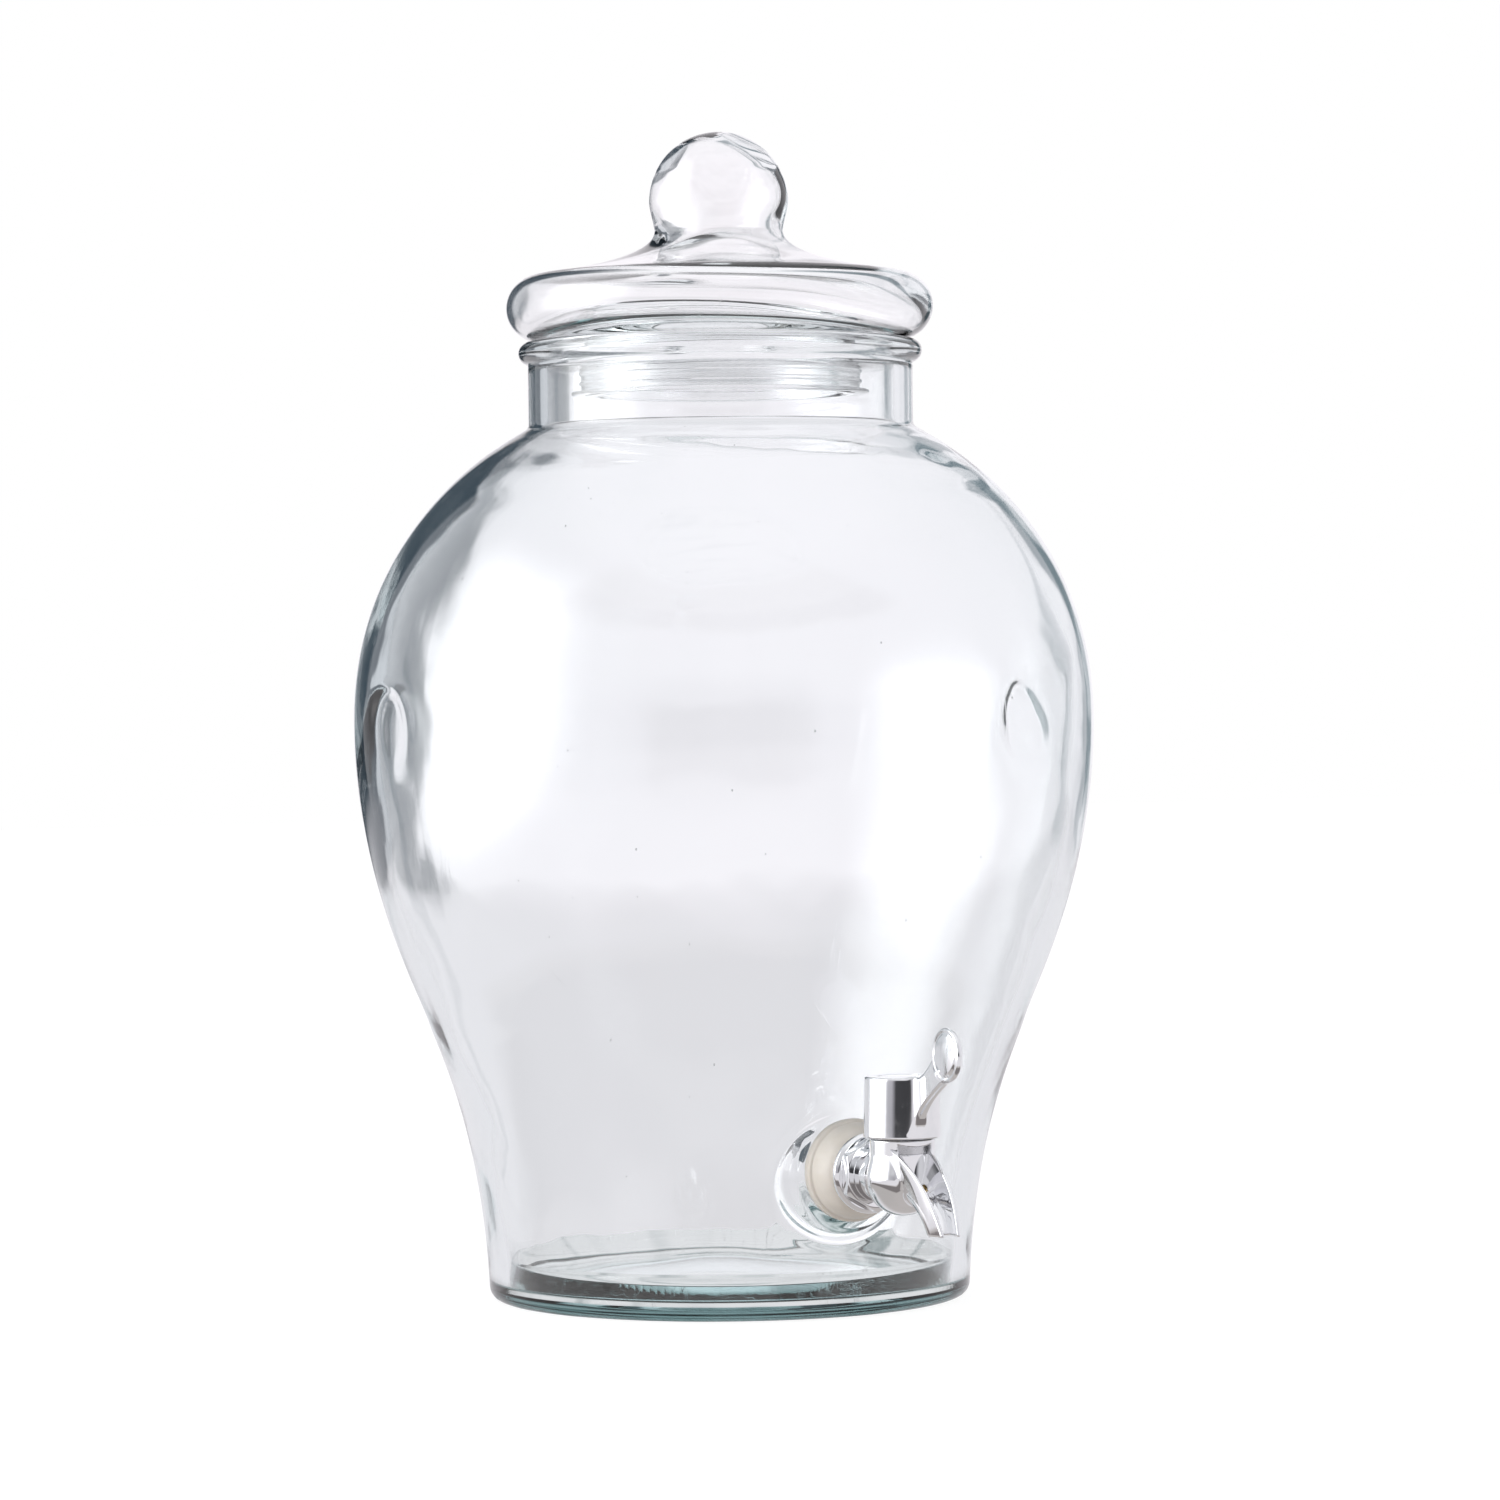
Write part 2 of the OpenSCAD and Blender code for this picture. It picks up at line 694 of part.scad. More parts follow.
module handle_screw() color(STEEL) on_valve() difference() {
    union() {
        rod(screw_radius - bolt_gap / 2, stem_top - screw_length + 1, screw_seat + eps);
        rod(screw_head[0], screw_seat, screw_seat + screw_head[1]);
    }
    translate([-screw_head[0], -screw_slot / 2, screw_seat + screw_head[1] - screw_slot])
        cube([2 * screw_head[0], screw_slot, screw_slot + eps]);
}

module screw_washer() color(STEEL) on_valve()
    ring(screw_washer_size[0], screw_radius + stop_slack, washer_level, screw_seat);

module handle_cap() color(CHROME) on_valve() translate([0, 0, cap_level]) rotate_extrude()
    polygon([
        [0, 0], [cap_radius, 0], [cap_radius, cap_depth - cap_edge],
        [cap_radius - cap_edge, cap_depth], [0, cap_depth]
    ]);

jar();
lid();
lid_seal();
tap_body();
outer_washer();
outer_nut();
outer_gasket();
inner_gasket();
inner_washer();
inner_nut();
valve_core();
core_ring_upper();
core_ring_lower();
inlet_seal();
gland_ring();
stem_ring();
glide_washer();
handle();
handle_screw();
screw_washer();
handle_cap();
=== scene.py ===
"""Beverage dispenser: glass jar, glass lid with a ball knob, chrome lever tap.

Shapes are written in millimetres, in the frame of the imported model, and scaled to metres
when a mesh is made. The tap points along -Y.
"""

import math

import bpy
import numpy as np
from mathutils import Matrix, Vector


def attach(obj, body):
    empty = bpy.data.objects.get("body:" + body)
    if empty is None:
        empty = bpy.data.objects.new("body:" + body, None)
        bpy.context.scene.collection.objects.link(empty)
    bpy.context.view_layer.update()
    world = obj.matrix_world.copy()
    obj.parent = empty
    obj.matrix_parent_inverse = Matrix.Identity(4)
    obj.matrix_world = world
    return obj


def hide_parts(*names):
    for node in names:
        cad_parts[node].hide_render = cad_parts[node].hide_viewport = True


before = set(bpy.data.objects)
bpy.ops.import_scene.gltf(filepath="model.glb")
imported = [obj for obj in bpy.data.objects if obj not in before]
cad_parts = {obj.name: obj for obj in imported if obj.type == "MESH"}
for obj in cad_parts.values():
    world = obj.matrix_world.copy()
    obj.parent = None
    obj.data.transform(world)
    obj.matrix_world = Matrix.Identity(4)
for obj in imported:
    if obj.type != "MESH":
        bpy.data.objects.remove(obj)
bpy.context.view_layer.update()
MM = 0.001
rng = np.random.default_rng(12)


# ---- outlines, in millimetres

def polar(radius, degrees):
    a = math.radians(degrees)
    return np.array([radius * math.cos(a), radius * math.sin(a)])


def bezier(points, count):
    """Points of a cubic Bezier curve, without its first point."""
    p = [np.asarray(q, float) for q in points]
    t = np.arange(1, count + 1)[:, None] / count
    u = 1 - t
    return u ** 3 * p[0] + 3 * u * u * t * p[1] + 3 * u * t * t * p[2] + t ** 3 * p[3]


def arc(centre, radius, start, end, count):
    a = np.radians(np.linspace(start, end, count + 1))[:, None]
    return np.asarray(centre, float) + radius * np.hstack([np.cos(a), np.sin(a)])


def inset(line, start, end):
    """A line moved to its left, by a distance that changes evenly along it."""
    d = np.empty_like(line)
    d[1:-1] = line[2:] - line[:-2]
    d[0], d[-1] = line[1] - line[0], line[-1] - line[-2]
    d /= np.linalg.norm(d, axis=1)[:, None]
    depth = np.linspace(start, end, len(line))[:, None]
    return line + depth * np.stack([-d[:, 1], d[:, 0]], 1)


def lengths(line):
    return np.concatenate([[0], np.cumsum(np.linalg.norm(np.diff(line, axis=0), axis=1))])


def along(line, where):
    """Points of a line at the given lengths along it."""
    s = lengths(line)
    return np.stack([np.interp(where, s, line[:, 0]), np.interp(where, s, line[:, 1])], 1)


def step(low, high, value):
    t = np.clip((value - low) / (high - low), 0, 1)
    return t * t * (3 - 2 * t)


def smooth_max(a, b, k):
    h = np.clip(0.5 + 0.5 * (a - b) / k, 0, 1)
    return b + (a - b) * h + k * h * (1 - h)


def smooth_min(a, b, k):
    return -smooth_max(-a, -b, k)


# ---- meshes

def signed_volume(verts, faces):
    total = 0.0
    for f in faces:
        for i in range(1, f.shape[1] - 1):
            a, b, c = verts[f[:, 0]], verts[f[:, i]], verts[f[:, i + 1]]
            total += np.einsum("ij,ij->i", a, np.cross(b, c)).sum()
    return total


def mesh_data(name, verts, faces, normals=None):
    """A smooth mesh from vertices in millimetres and arrays of quads or triangles."""
    mesh = bpy.data.meshes.new(name)
    count = sum(len(f) for f in faces)
    corners = np.concatenate([f.ravel() for f in faces])
    sizes = np.concatenate([np.full(len(f), f.shape[1]) for f in faces])
    mesh.vertices.add(len(verts))
    mesh.vertices.foreach_set("co", (np.asarray(verts) * MM).astype(np.float32).ravel())
    mesh.loops.add(len(corners))
    mesh.loops.foreach_set("vertex_index", corners.astype(np.int32))
    mesh.polygons.add(count)
    starts = np.concatenate([[0], np.cumsum(sizes)[:-1]])
    mesh.polygons.foreach_set("loop_start", starts.astype(np.int32))
    mesh.polygons.foreach_set("use_smooth", np.ones(count, bool))
    mesh.update(calc_edges=True)
    mesh.validate()
    if normals is not None:
        mesh.normals_split_custom_set_from_vertices([tuple(n) for n in normals])
    return mesh


def outward(verts, faces):
    """The faces, turned over if they face into the solid."""
    return [f[:, ::-1] for f in faces] if signed_volume(verts, faces) < 0 else faces


def linked(name, data):
    obj = bpy.data.objects.new(name, data)
    bpy.context.scene.collection.objects.link(obj)
    return obj


def piece(name, verts, faces, body, slot, mat, node, normals=None):
    """Shows a closed mesh as one piece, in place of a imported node."""
    obj = linked(name, mesh_data(name, verts, outward(verts, faces), normals))
    obj.data.materials.append(mat)
    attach(obj, body)
    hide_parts(node)


def grid_faces(rows, columns, closed_rows=False):
    """Quads of a grid of points, kept row by row, whose columns go round."""
    r = np.arange(rows if closed_rows else rows - 1)[:, None]
    c = np.arange(columns)[None, :]
    nr, nc = (r + 1) % rows, (c + 1) % columns
    quad = [r * columns + c, r * columns + nc, nr * columns + nc, nr * columns + c]
    return np.stack([np.broadcast_to(q, (r.size, columns)) for q in quad], -1).reshape(-1, 4)


def band(a, b):
    """Quads between two closed loops of vertices."""
    return np.stack([a, np.roll(a, -1), np.roll(b, -1), b], 1)


def pole_fans(rows, columns):
    """Triangles that close the first and last row of a grid, to the two vertices after it."""
    c = np.arange(columns)
    n = (c + 1) % columns
    pole, last = rows * columns, (rows - 1) * columns
    return np.vstack([
        np.stack([np.full(columns, pole), n, c], 1),
        np.stack([np.full(columns, pole + 1), last + c, last + n], 1),
    ])


def turned(radius, angle, height):
    """Points at a radius, an angle and a height, each a number or an array."""
    parts = (radius * np.cos(angle), radius * np.sin(angle), height)
    return np.stack(np.broadcast_arrays(*parts), -1)


def lathe(profile, columns=96):
    """Turns a closed outline of (radius, height) points round the Z axis. An outline that
    starts and ends on the axis has one vertex at each of those two points."""
    profile = np.asarray(profile, float)
    angles = np.arange(columns) * 2 * math.pi / columns
    ring = turned(profile[:, :1], angles, profile[:, 1:])
    if profile[:, 0].min() > 1e-6:
        return ring.reshape(-1, 3), [grid_faces(len(profile), columns, closed_rows=True)]
    rows = len(profile) - 2
    verts = np.vstack([ring[1:-1].reshape(-1, 3), ring[0].mean(0), ring[-1].mean(0)])
    return verts, [grid_faces(rows, columns), pole_fans(rows, columns)]


def rounded(points, radius, count=5):
    """A closed outline with its corners rounded; radius is one number or one per corner."""
    p = np.asarray(points, float)
    radius = np.broadcast_to(radius, len(p))
    out = []
    for i in range(len(p)):
        a, b, c = p[i - 1], p[i], p[(i + 1) % len(p)]
        u, v = a - b, c - b
        lu, lv = np.linalg.norm(u), np.linalg.norm(v)
        u, v = u / lu, v / lv
        half = math.acos(np.clip(u @ v, -1, 1)) / 2
        reach = min(radius[i] / math.tan(half), 0.45 * lu, 0.45 * lv)
        t = np.linspace(0, 1, count + 1)[:, None]
        start, end = b + u * reach, b + v * reach
        out.append((1 - t) ** 2 * start + 2 * t * (1 - t) * b + t * t * end)
    return np.vstack(out)


def surface_net(distance, low, high, cell):
    """Quads on the zero level of distance(x, y, z), with normals from its gradient."""
    axes = [np.arange(a, b + cell, cell) for a, b in zip(low, high)]
    d = distance(*np.meshgrid(*axes, indexing="ij"))
    inside = d < 0
    shape = np.array(d.shape) - 1
    total, count = np.zeros((*shape, 3)), np.zeros(shape)

    def at_corner(corner):
        return d[tuple(slice(c, n + c) for c, n in zip(corner, shape))]

    for axis in range(3):
        for i, j in ((0, 0), (0, 1), (1, 0), (1, 1)):
            corner, along_axis = np.insert([i, j], axis, 0), np.arange(3) == axis
            a, b = at_corner(corner), at_corner(corner + along_axis)
            cut = (a < 0) != (b < 0)
            t = np.where(cut, a / np.where(cut, a - b, 1), 0)
            for k in range(3):
                total[..., k] += np.where(cut, t if k == axis else corner[k], 0)
            count += cut
    used = count > 0
    index = np.full(shape, -1)
    index[used] = np.arange(used.sum())
    cells = np.argwhere(used)
    verts = (cells + total[used] / count[used][:, None]) * cell + np.array([a[0] for a in axes])
    quads = []
    for axis in range(3):
        u, v = (a for a in range(3) if a != axis)
        lo = [slice(1, n) for n in shape]
        lo[axis] = slice(0, shape[axis])
        hi = list(lo)
        hi[axis] = slice(1, shape[axis] + 1)
        a, b = inside[tuple(lo)], inside[tuple(hi)]
        where = np.argwhere(a != b)
        place = where + (np.arange(3) != axis)
        ring = []
        for du, dv in ((-1, -1), (0, -1), (0, 0), (-1, 0)):
            p = place.copy()
            p[:, u] += du
            p[:, v] += dv
            ring.append(index[tuple(p.T)])
        quad = np.stack(ring, 1)
        flip = a[tuple(where.T)] == (axis == 1)
        quad[flip] = quad[flip][:, ::-1]
        quads.append(quad)

    def gradient(p, h):
        g = np.empty_like(p)
        for k in range(3):
            e = h * (np.arange(3) == k)
            g[:, k] = (distance(*(p + e).T) - distance(*(p - e).T)) / (2 * h)
        return g

    # Each vertex moves onto the surface itself, by at most one cell
    start = verts.copy()
    for _ in range(6):
        g = gradient(verts, 0.02)
        size = np.maximum((g * g).sum(1), 0.05)
        verts = verts - (distance(*verts.T) / size)[:, None] * g
        verts = start + np.clip(verts - start, -cell, cell)
    g = gradient(verts, 0.06)
    normals = g / np.maximum(np.linalg.norm(g, axis=1), 1e-9)[:, None]
    return verts, np.vstack(quads), normals


# ---- materials

class Nodes:
    """Short calls for building one node tree."""

    def __init__(self, tree):
        self.tree = tree
        tree.nodes.clear()

    def add(self, kind, inputs=None, output=0, **settings):
        """Adds a shader node. An input is a socket to link or a value to set. Returns one
        output, or with output=None the node."""
        n = self.tree.nodes.new("ShaderNode" + kind)
        for key, value in settings.items():
            setattr(n, key, value)
        for key, value in (inputs or {}).items():
            if isinstance(value, bpy.types.NodeSocket):
                self.tree.links.new(value, n.inputs[key])
            else:
                n.inputs[key].default_value = value
        return n.outputs[output] if output is not None else n

    def math(self, operation, a, b=0.0, clamp=False):
        return self.add("Math", {0: a, 1: b}, operation=operation, use_clamp=clamp)

    def times(self, a, b):
        return self.math("MULTIPLY", a, b)

    def plus(self, a, b):
        return self.math("ADD", a, b)

    def window(self, value, low, high, edge):
        """1 between low and high, falling softly to 0 over edge on both sides."""
        up = self.smooth(value, low - edge, low)
        down = self.smooth(value, high, high + edge)
        return self.math("SUBTRACT", up, down, clamp=True)

    def smooth(self, value, low, high, to_low=0.0, to_high=1.0):
        return self.add("MapRange", {
            "Value": value, "From Min": low, "From Max": high,
            "To Min": to_low, "To Max": to_high,
        }, interpolation_type="SMOOTHSTEP")

    def dot(self, vector, direction):
        return self.add("VectorMath", {0: vector, 1: tuple(direction)}, output=1,
                        operation="DOT_PRODUCT")

    def ramp(self, value, stops):
        n = self.add("ValToRGB", {"Fac": value}, output=None)
        while len(n.color_ramp.elements) < len(stops):
            n.color_ramp.elements.new(1.0)
        for e, (place, colour) in zip(n.color_ramp.elements, stops):
            e.position = place
            e.color = (*colour, 1)
        return n.outputs[0]

    def mix(self, factor, a, b):
        n = self.add("Mix", output=None, data_type="RGBA")
        for socket, value in ((n.inputs[0], factor), (n.inputs[6], a), (n.inputs[7], b)):
            if isinstance(value, bpy.types.NodeSocket):
                self.tree.links.new(value, socket)
            else:
                socket.default_value = value if isinstance(value, float) else (*value, 1)
        return n.outputs[2]

    def glow(self, colour, strength):
        return self.add("Emission", {"Color": colour, "Strength": strength})

    def noise(self, vector, scale, detail=2.0, roughness=0.5, distortion=0.0):
        return self.add("TexNoise", {
            "Vector": vector, "Scale": scale, "Detail": detail, "Roughness": roughness,
            "Distortion": distortion,
        })

    def stretched(self, vector, scale, turn=(0, 0, 0)):
        return self.add("Mapping", {"Vector": vector, "Rotation": turn, "Scale": scale})

    def bump(self, height, distance, normal=None):
        inputs = {"Height": height, "Distance": distance, "Strength": 1.0}
        if normal is not None:
            inputs["Normal"] = normal
        return self.add("Bump", inputs)


GLASS_IOR, PLASTIC_IOR = 1.52, 1.43
# Colour of the painted shade on the jar's foot edge
FOOT_PAINTED_SHADE = (0.13, 0.20, 0.20)


def material(name):
    """A new material, the calls for its nodes, and the place on the object."""
    m = bpy.data.materials.new(name)
    m.use_nodes = True
    n = Nodes(m.node_tree)
    where = n.add("TexCoord", output=3)
    return m, n, where


def finish_material(m, n, volume=None, **inputs):
    shader = n.add("BsdfPrincipled", inputs)
    out = n.add("OutputMaterial", {"Surface": shader}, output=None)
    if volume is not None:
        n.tree.links.new(volume, out.inputs["Volume"])
    return m


def scratches(n, where, scale, turn, width=0.012):
    """Thin straight scratches, as a mask: far-stretched noise cut to a narrow line."""
    v = n.stretched(where, (scale * 16, scale * 16, scale), turn)
    line = n.noise(v, 1.0, 1.0, 0.5, 0.4)
    off = n.math("ABSOLUTE", n.math("SUBTRACT", line, 0.5))
    thin = n.smooth(off, 0.0, width, 1.0, 0.0)
    gate = n.smooth(n.noise(where, scale * 3.1), 0.52, 0.62)
    return n.times(thin, gate)


def glass(name, absorb, density, ripple_height, foot=None):
    """Recycled glass: clear, teal through its depth, with slow ripples, fine scratches and
    smudges. foot is the height and radius, in metres, where painted shade darkens the foot's
    edge."""
    m, n, where = material(name)
    slow = n.noise(n.stretched(where, (1, 1, 2.2)), 45.0, 2.0, 0.45, 0.3)
    fine = n.noise(where, 240.0)
    mark = scratches(n, where, 14.0, (0.5, 0.3, 0.9))
    normal = n.bump(slow, ripple_height)
    normal = n.bump(fine, ripple_height * 0.07, normal)
    normal = n.bump(mark, -ripple_height * 0.15, normal)
    smudge = n.smooth(n.noise(where, 22.0, 4.0, 0.6), 0.6, 0.78)
    rough = n.plus(n.times(smudge, 0.02), n.times(mark, 0.12))
    volume = n.add("VolumeAbsorption", {"Color": (*absorb, 1), "Density": density})
    colour = (1, 1, 1, 1)
    if foot:
        height, radius = foot
        split = n.add("SeparateXYZ", {0: where}, output=None)
        squares = [n.math("POWER", split.outputs[i], 2.0) for i in (0, 1)]
        from_axis = n.math("SQRT", n.plus(*squares))
        uneven = n.plus(split.outputs[2], n.times(n.noise(where, 60.0, 3.0), 0.0016))
        low = n.smooth(uneven, height, height + 0.002, 1.0, 0.0)
        dark = n.times(low, n.smooth(from_axis, radius - 0.002, radius))
        # Painted shade: the glass turns dark teal in a band round the foot's outer edge, below
        # the foot's height
        colour = n.mix(dark, (1.0, 1.0, 1.0), FOOT_PAINTED_SHADE)
    return finish_material(m, n, volume, **{
        "Base Color": colour, "Transmission Weight": 1.0, "IOR": GLASS_IOR,
        "Roughness": rough, "Normal": normal,
    })


def clear_plastic():
    m, n, where = material("clear_plastic")
    normal = n.bump(n.noise(where, 120.0, 3.0, 0.6), 0.00003)
    rough = n.smooth(n.noise(where, 60.0, 3.0), 0.35, 0.75, 0.02, 0.14)
    volume = n.add("VolumeAbsorption", {"Color": (0.8, 0.88, 0.9, 1), "Density": 12.0})
    return finish_material(m, n, volume, **{
        "Base Color": (1, 1, 1, 1), "Transmission Weight": 1.0, "IOR": PLASTIC_IOR,
        "Roughness": rough, "Normal": normal,
    })


def metal(name, light, dark, polish, grain, brushed=None):
    """Plated or turned metal. brushed stretches its grain along the turning marks."""
    m, n, where = material(name)
    tone = n.noise(where, 70.0, 4.0, 0.6)
    colour = n.mix(n.smooth(tone, 0.35, 0.7), light, dark)
    mark = scratches(n, where, 40.0, (0.4, 0.9, 0.2), 0.01)
    grain_at = n.stretched(where, brushed) if brushed else where
    fine = n.noise(grain_at, 900.0)
    normal = n.bump(fine, grain)
    normal = n.bump(mark, -grain * 1.5, normal)
    soil = n.smooth(n.noise(where, 130.0, 3.0, 0.6), 0.5, 0.75)
    rough = n.plus(polish, n.times(soil, polish * 0.9))
    rough = n.plus(rough, n.times(mark, 0.08))
    return finish_material(m, n, **{
        "Base Color": colour, "Metallic": 1.0, "Roughness": rough, "Normal": normal,
    })


def rubber(name, light, dark, rough, subsurface=0.0):
    m, n, where = material(name)
    tone = n.noise(where, 90.0, 4.0, 0.6)
    colour = n.mix(n.smooth(tone, 0.3, 0.72), light, dark)
    dust = n.smooth(n.noise(where, 2400.0), 0.68, 0.74)
    colour = n.mix(n.times(dust, 0.25), colour, (0.9, 0.9, 0.88))
    normal = n.bump(n.noise(where, 1560.0, 3.0), 0.000018)
    normal = n.bump(n.noise(where, 260.0), 0.00004, normal)
    gloss = n.smooth(n.noise(where, 160.0, 3.0), 0.3, 0.7, rough - 0.07, rough + 0.08)
    return finish_material(m, n, **{
        "Base Color": colour, "Roughness": gloss, "Normal": normal,
        "Subsurface Weight": subsurface, "Subsurface Radius": (1.0, 0.85, 0.6),
        "Subsurface Scale": 0.0015,
    })


GLASS = glass("glass", (0.12, 0.58, 0.60), 4.0, 0.000012, foot=(0.0052, 0.0880))
LID_GLASS = glass("lid_glass", (0.3, 0.68, 0.70), 3.0, 0.00003)
CLEAR = clear_plastic()
CHROME = metal("chrome", (0.90, 0.90, 0.91), (0.84, 0.85, 0.86), 0.035, 0.0000006)
BRASS = metal("brass", (0.80, 0.62, 0.30), (0.62, 0.45, 0.20), 0.22, 0.000004, (3, 3, 0.2))
STEEL = metal("steel", (0.68, 0.68, 0.69), (0.50, 0.50, 0.51), 0.24, 0.000004, (0.3, 3, 0.3))
SILICONE = rubber("silicone", (0.77, 0.725, 0.65), (0.70, 0.655, 0.58), 0.42, 0.1)
BLACK = rubber("black_rubber", (0.030, 0.030, 0.032), (0.016, 0.016, 0.018), 0.55)
WHITE = rubber("white_plastic", (0.86, 0.86, 0.84), (0.80, 0.80, 0.78), 0.35, 0.05)

# ---- jar

# The tap: its outer seat in front of the axis, its height, and its lever's axis past the seat
SEAT, TAP_Z, REACH = 100.5, 55.5, 40.7
SEAT_WALL, HOLE = 8.0, 8.6
# How wide the flat seat is outside and inside, and how softly it blends into the wall
SEAT_OUT, SEAT_IN, SEAT_BLEND = 20.4, 15.0, 5.0
TAP_ANGLE, TAP_RADIUS = 1.5 * math.pi, 95
# A grip's plane from the axis, half its width and the height of its top
GRIP_PANEL, GRIP_HALF, GRIP_TOP = 136.8, 17.5, 232.0
FOOT_RADIUS, BASE_RADIUS, UNDER_RADIUS = 5, 74.8, 73.3
NECK, NECK_TOP, BEAD = 73, 354.1, 4.2

foot, waist = np.array([91.3, 5.0]), np.array([113.0, 104.7])
belly, shoulder = np.array([140.3, 219.0]), np.array([80.0, 325.8])
wall = np.vstack([
    foot[None],
    bezier([foot, foot + polar(58.6, 87.5), waist - polar(10, 73.1), waist], 200),
    bezier([waist, waist + polar(12.9, 73.1), belly - [0, 60.3], belly], 200),
    bezier([belly, belly + [0, 51.7], shoulder + polar(37.3, -30.6), shoulder], 200),
])
inner_wall = inset(wall, 7.5, 7.0)

# The neck: a fillet from the shoulder's slope to the upright, then the bead and the lip
fillet_turn = 59.4
neck_corner = 325.8 + 7 * math.tan(math.radians(30.6))
fillet_centre = (76.0, neck_corner + 3 * math.tan(math.radians(fillet_turn / 2)))
bead_centre = (72.4, 358.4)
bead_start = -math.degrees(math.acos((NECK - 72.4) / BEAD))


def rows_at(line, spacings):
    """Points of a wall line, from (height up to which, spacing). A whole number below 0 in
    place of a spacing asks for that many rows, evenly spaced in height."""
    s, low, out = lengths(line), line[0, 1], [0.0]
    for height, spacing in spacings:
        height = min(height, line[-1, 1])
        a, b = np.interp([low, height], line[:, 1], s)
        if spacing < 0:
            rows = np.interp(np.linspace(low, height, 1 - spacing)[1:], line[:, 1], s)
        else:
            rows = np.linspace(a, b, max(1, int(round((b - a) / spacing))) + 1)[1:]
        out.extend(rows)
        low = height
    return along(line, np.array(out))


# The wall's grid is left open in a window round the tap, where rings take its place
WINDOW_LOW, WINDOW_HIGH, WINDOW_ROWS = 24.0, 87.0, 36
outer_rows = rows_at(wall, [
    (WINDOW_LOW, 2.4), (WINDOW_HIGH, -WINDOW_ROWS), (206, 3.2), (239, 1.15), (400, 2.9)
])
inner_rows = rows_at(inner_wall, [
    (WINDOW_LOW, 2.6), (WINDOW_HIGH, -WINDOW_ROWS), (204, 3.8), (240, 2.2), (400, 3.2)
])


def pushed_up(radius, level, count):
    """The line of a bottom that rises by 4 mm towards the axis."""
    s = np.linspace(0, 1, count + 1)
    return np.stack([radius * s, level + 2 * (1 + np.cos(math.pi * s))], 1)


under = pushed_up(UNDER_RADIUS, 0, 14)
foot_arc = arc((foot[0] - FOOT_RADIUS, foot[1]), FOOT_RADIUS, -90, 0, 7)[:-1]
neck_out = arc(fillet_centre, 3, 180 + fillet_turn, 180, 6)[1:]
neck_out = np.vstack([neck_out, np.linspace(neck_out[-1], (NECK, NECK_TOP), 9)[1:-1]])
bead = arc(bead_centre, BEAD, bead_start, 90, 16)
lip = arc((69, 359.6), 3, 90, 180, 6)
neck_in = arc(fillet_centre, 10, 180 + fillet_turn, 180, 6)[::-1]
neck_in = np.vstack([np.linspace(lip[-1], neck_in[0], 9)[1:-1], neck_in[:-1]])
floor_arc = arc((BASE_RADIUS, 19), 9, -90, 0, 8)[::-1][1:]
floor = pushed_up(BASE_RADIUS, 10, 14)[::-1][1:]

parts = [
    under, foot_arc, outer_rows, neck_out, bead, lip, neck_in, inner_rows[::-1], floor_arc, floor
]
jar_profile = np.vstack(parts)
ends = np.cumsum([len(p) for p in parts])
outer_start, inner_start = ends[1], ends[6]

# Columns: angle 0 is +X, and they are closer together at the tap and the grips
TAP_SPAN, GRIP_SPAN, TAP_COLUMNS = 19.5, 10.0, 38
turns = [
    0, GRIP_SPAN, 90, 180 - GRIP_SPAN, 180 + GRIP_SPAN, 270 - TAP_SPAN, 270 + TAP_SPAN,
    360 - GRIP_SPAN, 360,
]
counts = [16, 42, 42, 32, 32, TAP_COLUMNS, 32, 16]
columns = np.radians(np.concatenate([
    np.linspace(a, b, count + 1)[:-1] for a, b, count in zip(turns, turns[1:], counts)
]))
tap_left = int(np.argmin(abs(columns - math.radians(270 - TAP_SPAN))))


def waves(count, around, upward, seed):
    """Random waves: how many go round, how long they are upwards, and their phases."""
    g = np.random.default_rng(seed)
    n = g.integers(around[0], around[1] + 1, count) * g.choice([-1, 1], count)
    k = 2 * math.pi / g.uniform(upward[0], upward[1], count)
    return n, k, g.uniform(0, 2 * math.pi, count)


def ripple(angle, z, table):
    """Sum of a table's waves, with an average swing of about 1."""
    n, k, phase = table
    total = np.zeros(np.shape(angle))
    for a, b, c in zip(n, k, phase):
        total = total + np.sin(a * angle + b * z + c)
    return total / math.sqrt(len(n) / 2)


OUTER_SLOW, OUTER_FINE = waves(9, (3, 14), (45, 130), 3), waves(10, (30, 62), (14, 30), 5)
INNER_SLOW, INNER_FINE = waves(10, (3, 16), (34, 110), 7), waves(10, (16, 40), (14, 34), 9)
STREAKS = waves(8, (1, 5), (9, 20), 11)


def ripple_depth(angle, z, inner):
    """How far the wall stands out: its ripples, and inside its extra thickness too."""
    keep = step(8, 40, z) * (1 - step(327, 334, z))
    reach = np.hypot((angle - TAP_ANGLE) * TAP_RADIUS, z - TAP_Z)
    keep = keep * step(25, 40, reach)
    if not inner:
        slow, fine = ripple(angle, z, OUTER_SLOW), ripple(angle, z, OUTER_FINE)
        return keep * (0.035 * slow + 0.004 * fine)
    high = step(290, 318, z)
    low = 1 - step(16, 36, z)
    thick = step(150, 235, z) * (1 - step(300, 330, z)) * (1.9 - 0.9 * np.cos(angle))
    return -thick + keep * (
        (0.07 + 0.12 * low + 0.1 * high) * ripple(angle, z, INNER_SLOW)
        + (0.008 + 0.02 * high) * ripple(angle, z, INNER_FINE)
        + 0.30 * high * ripple(angle, z, STREAKS)
    )


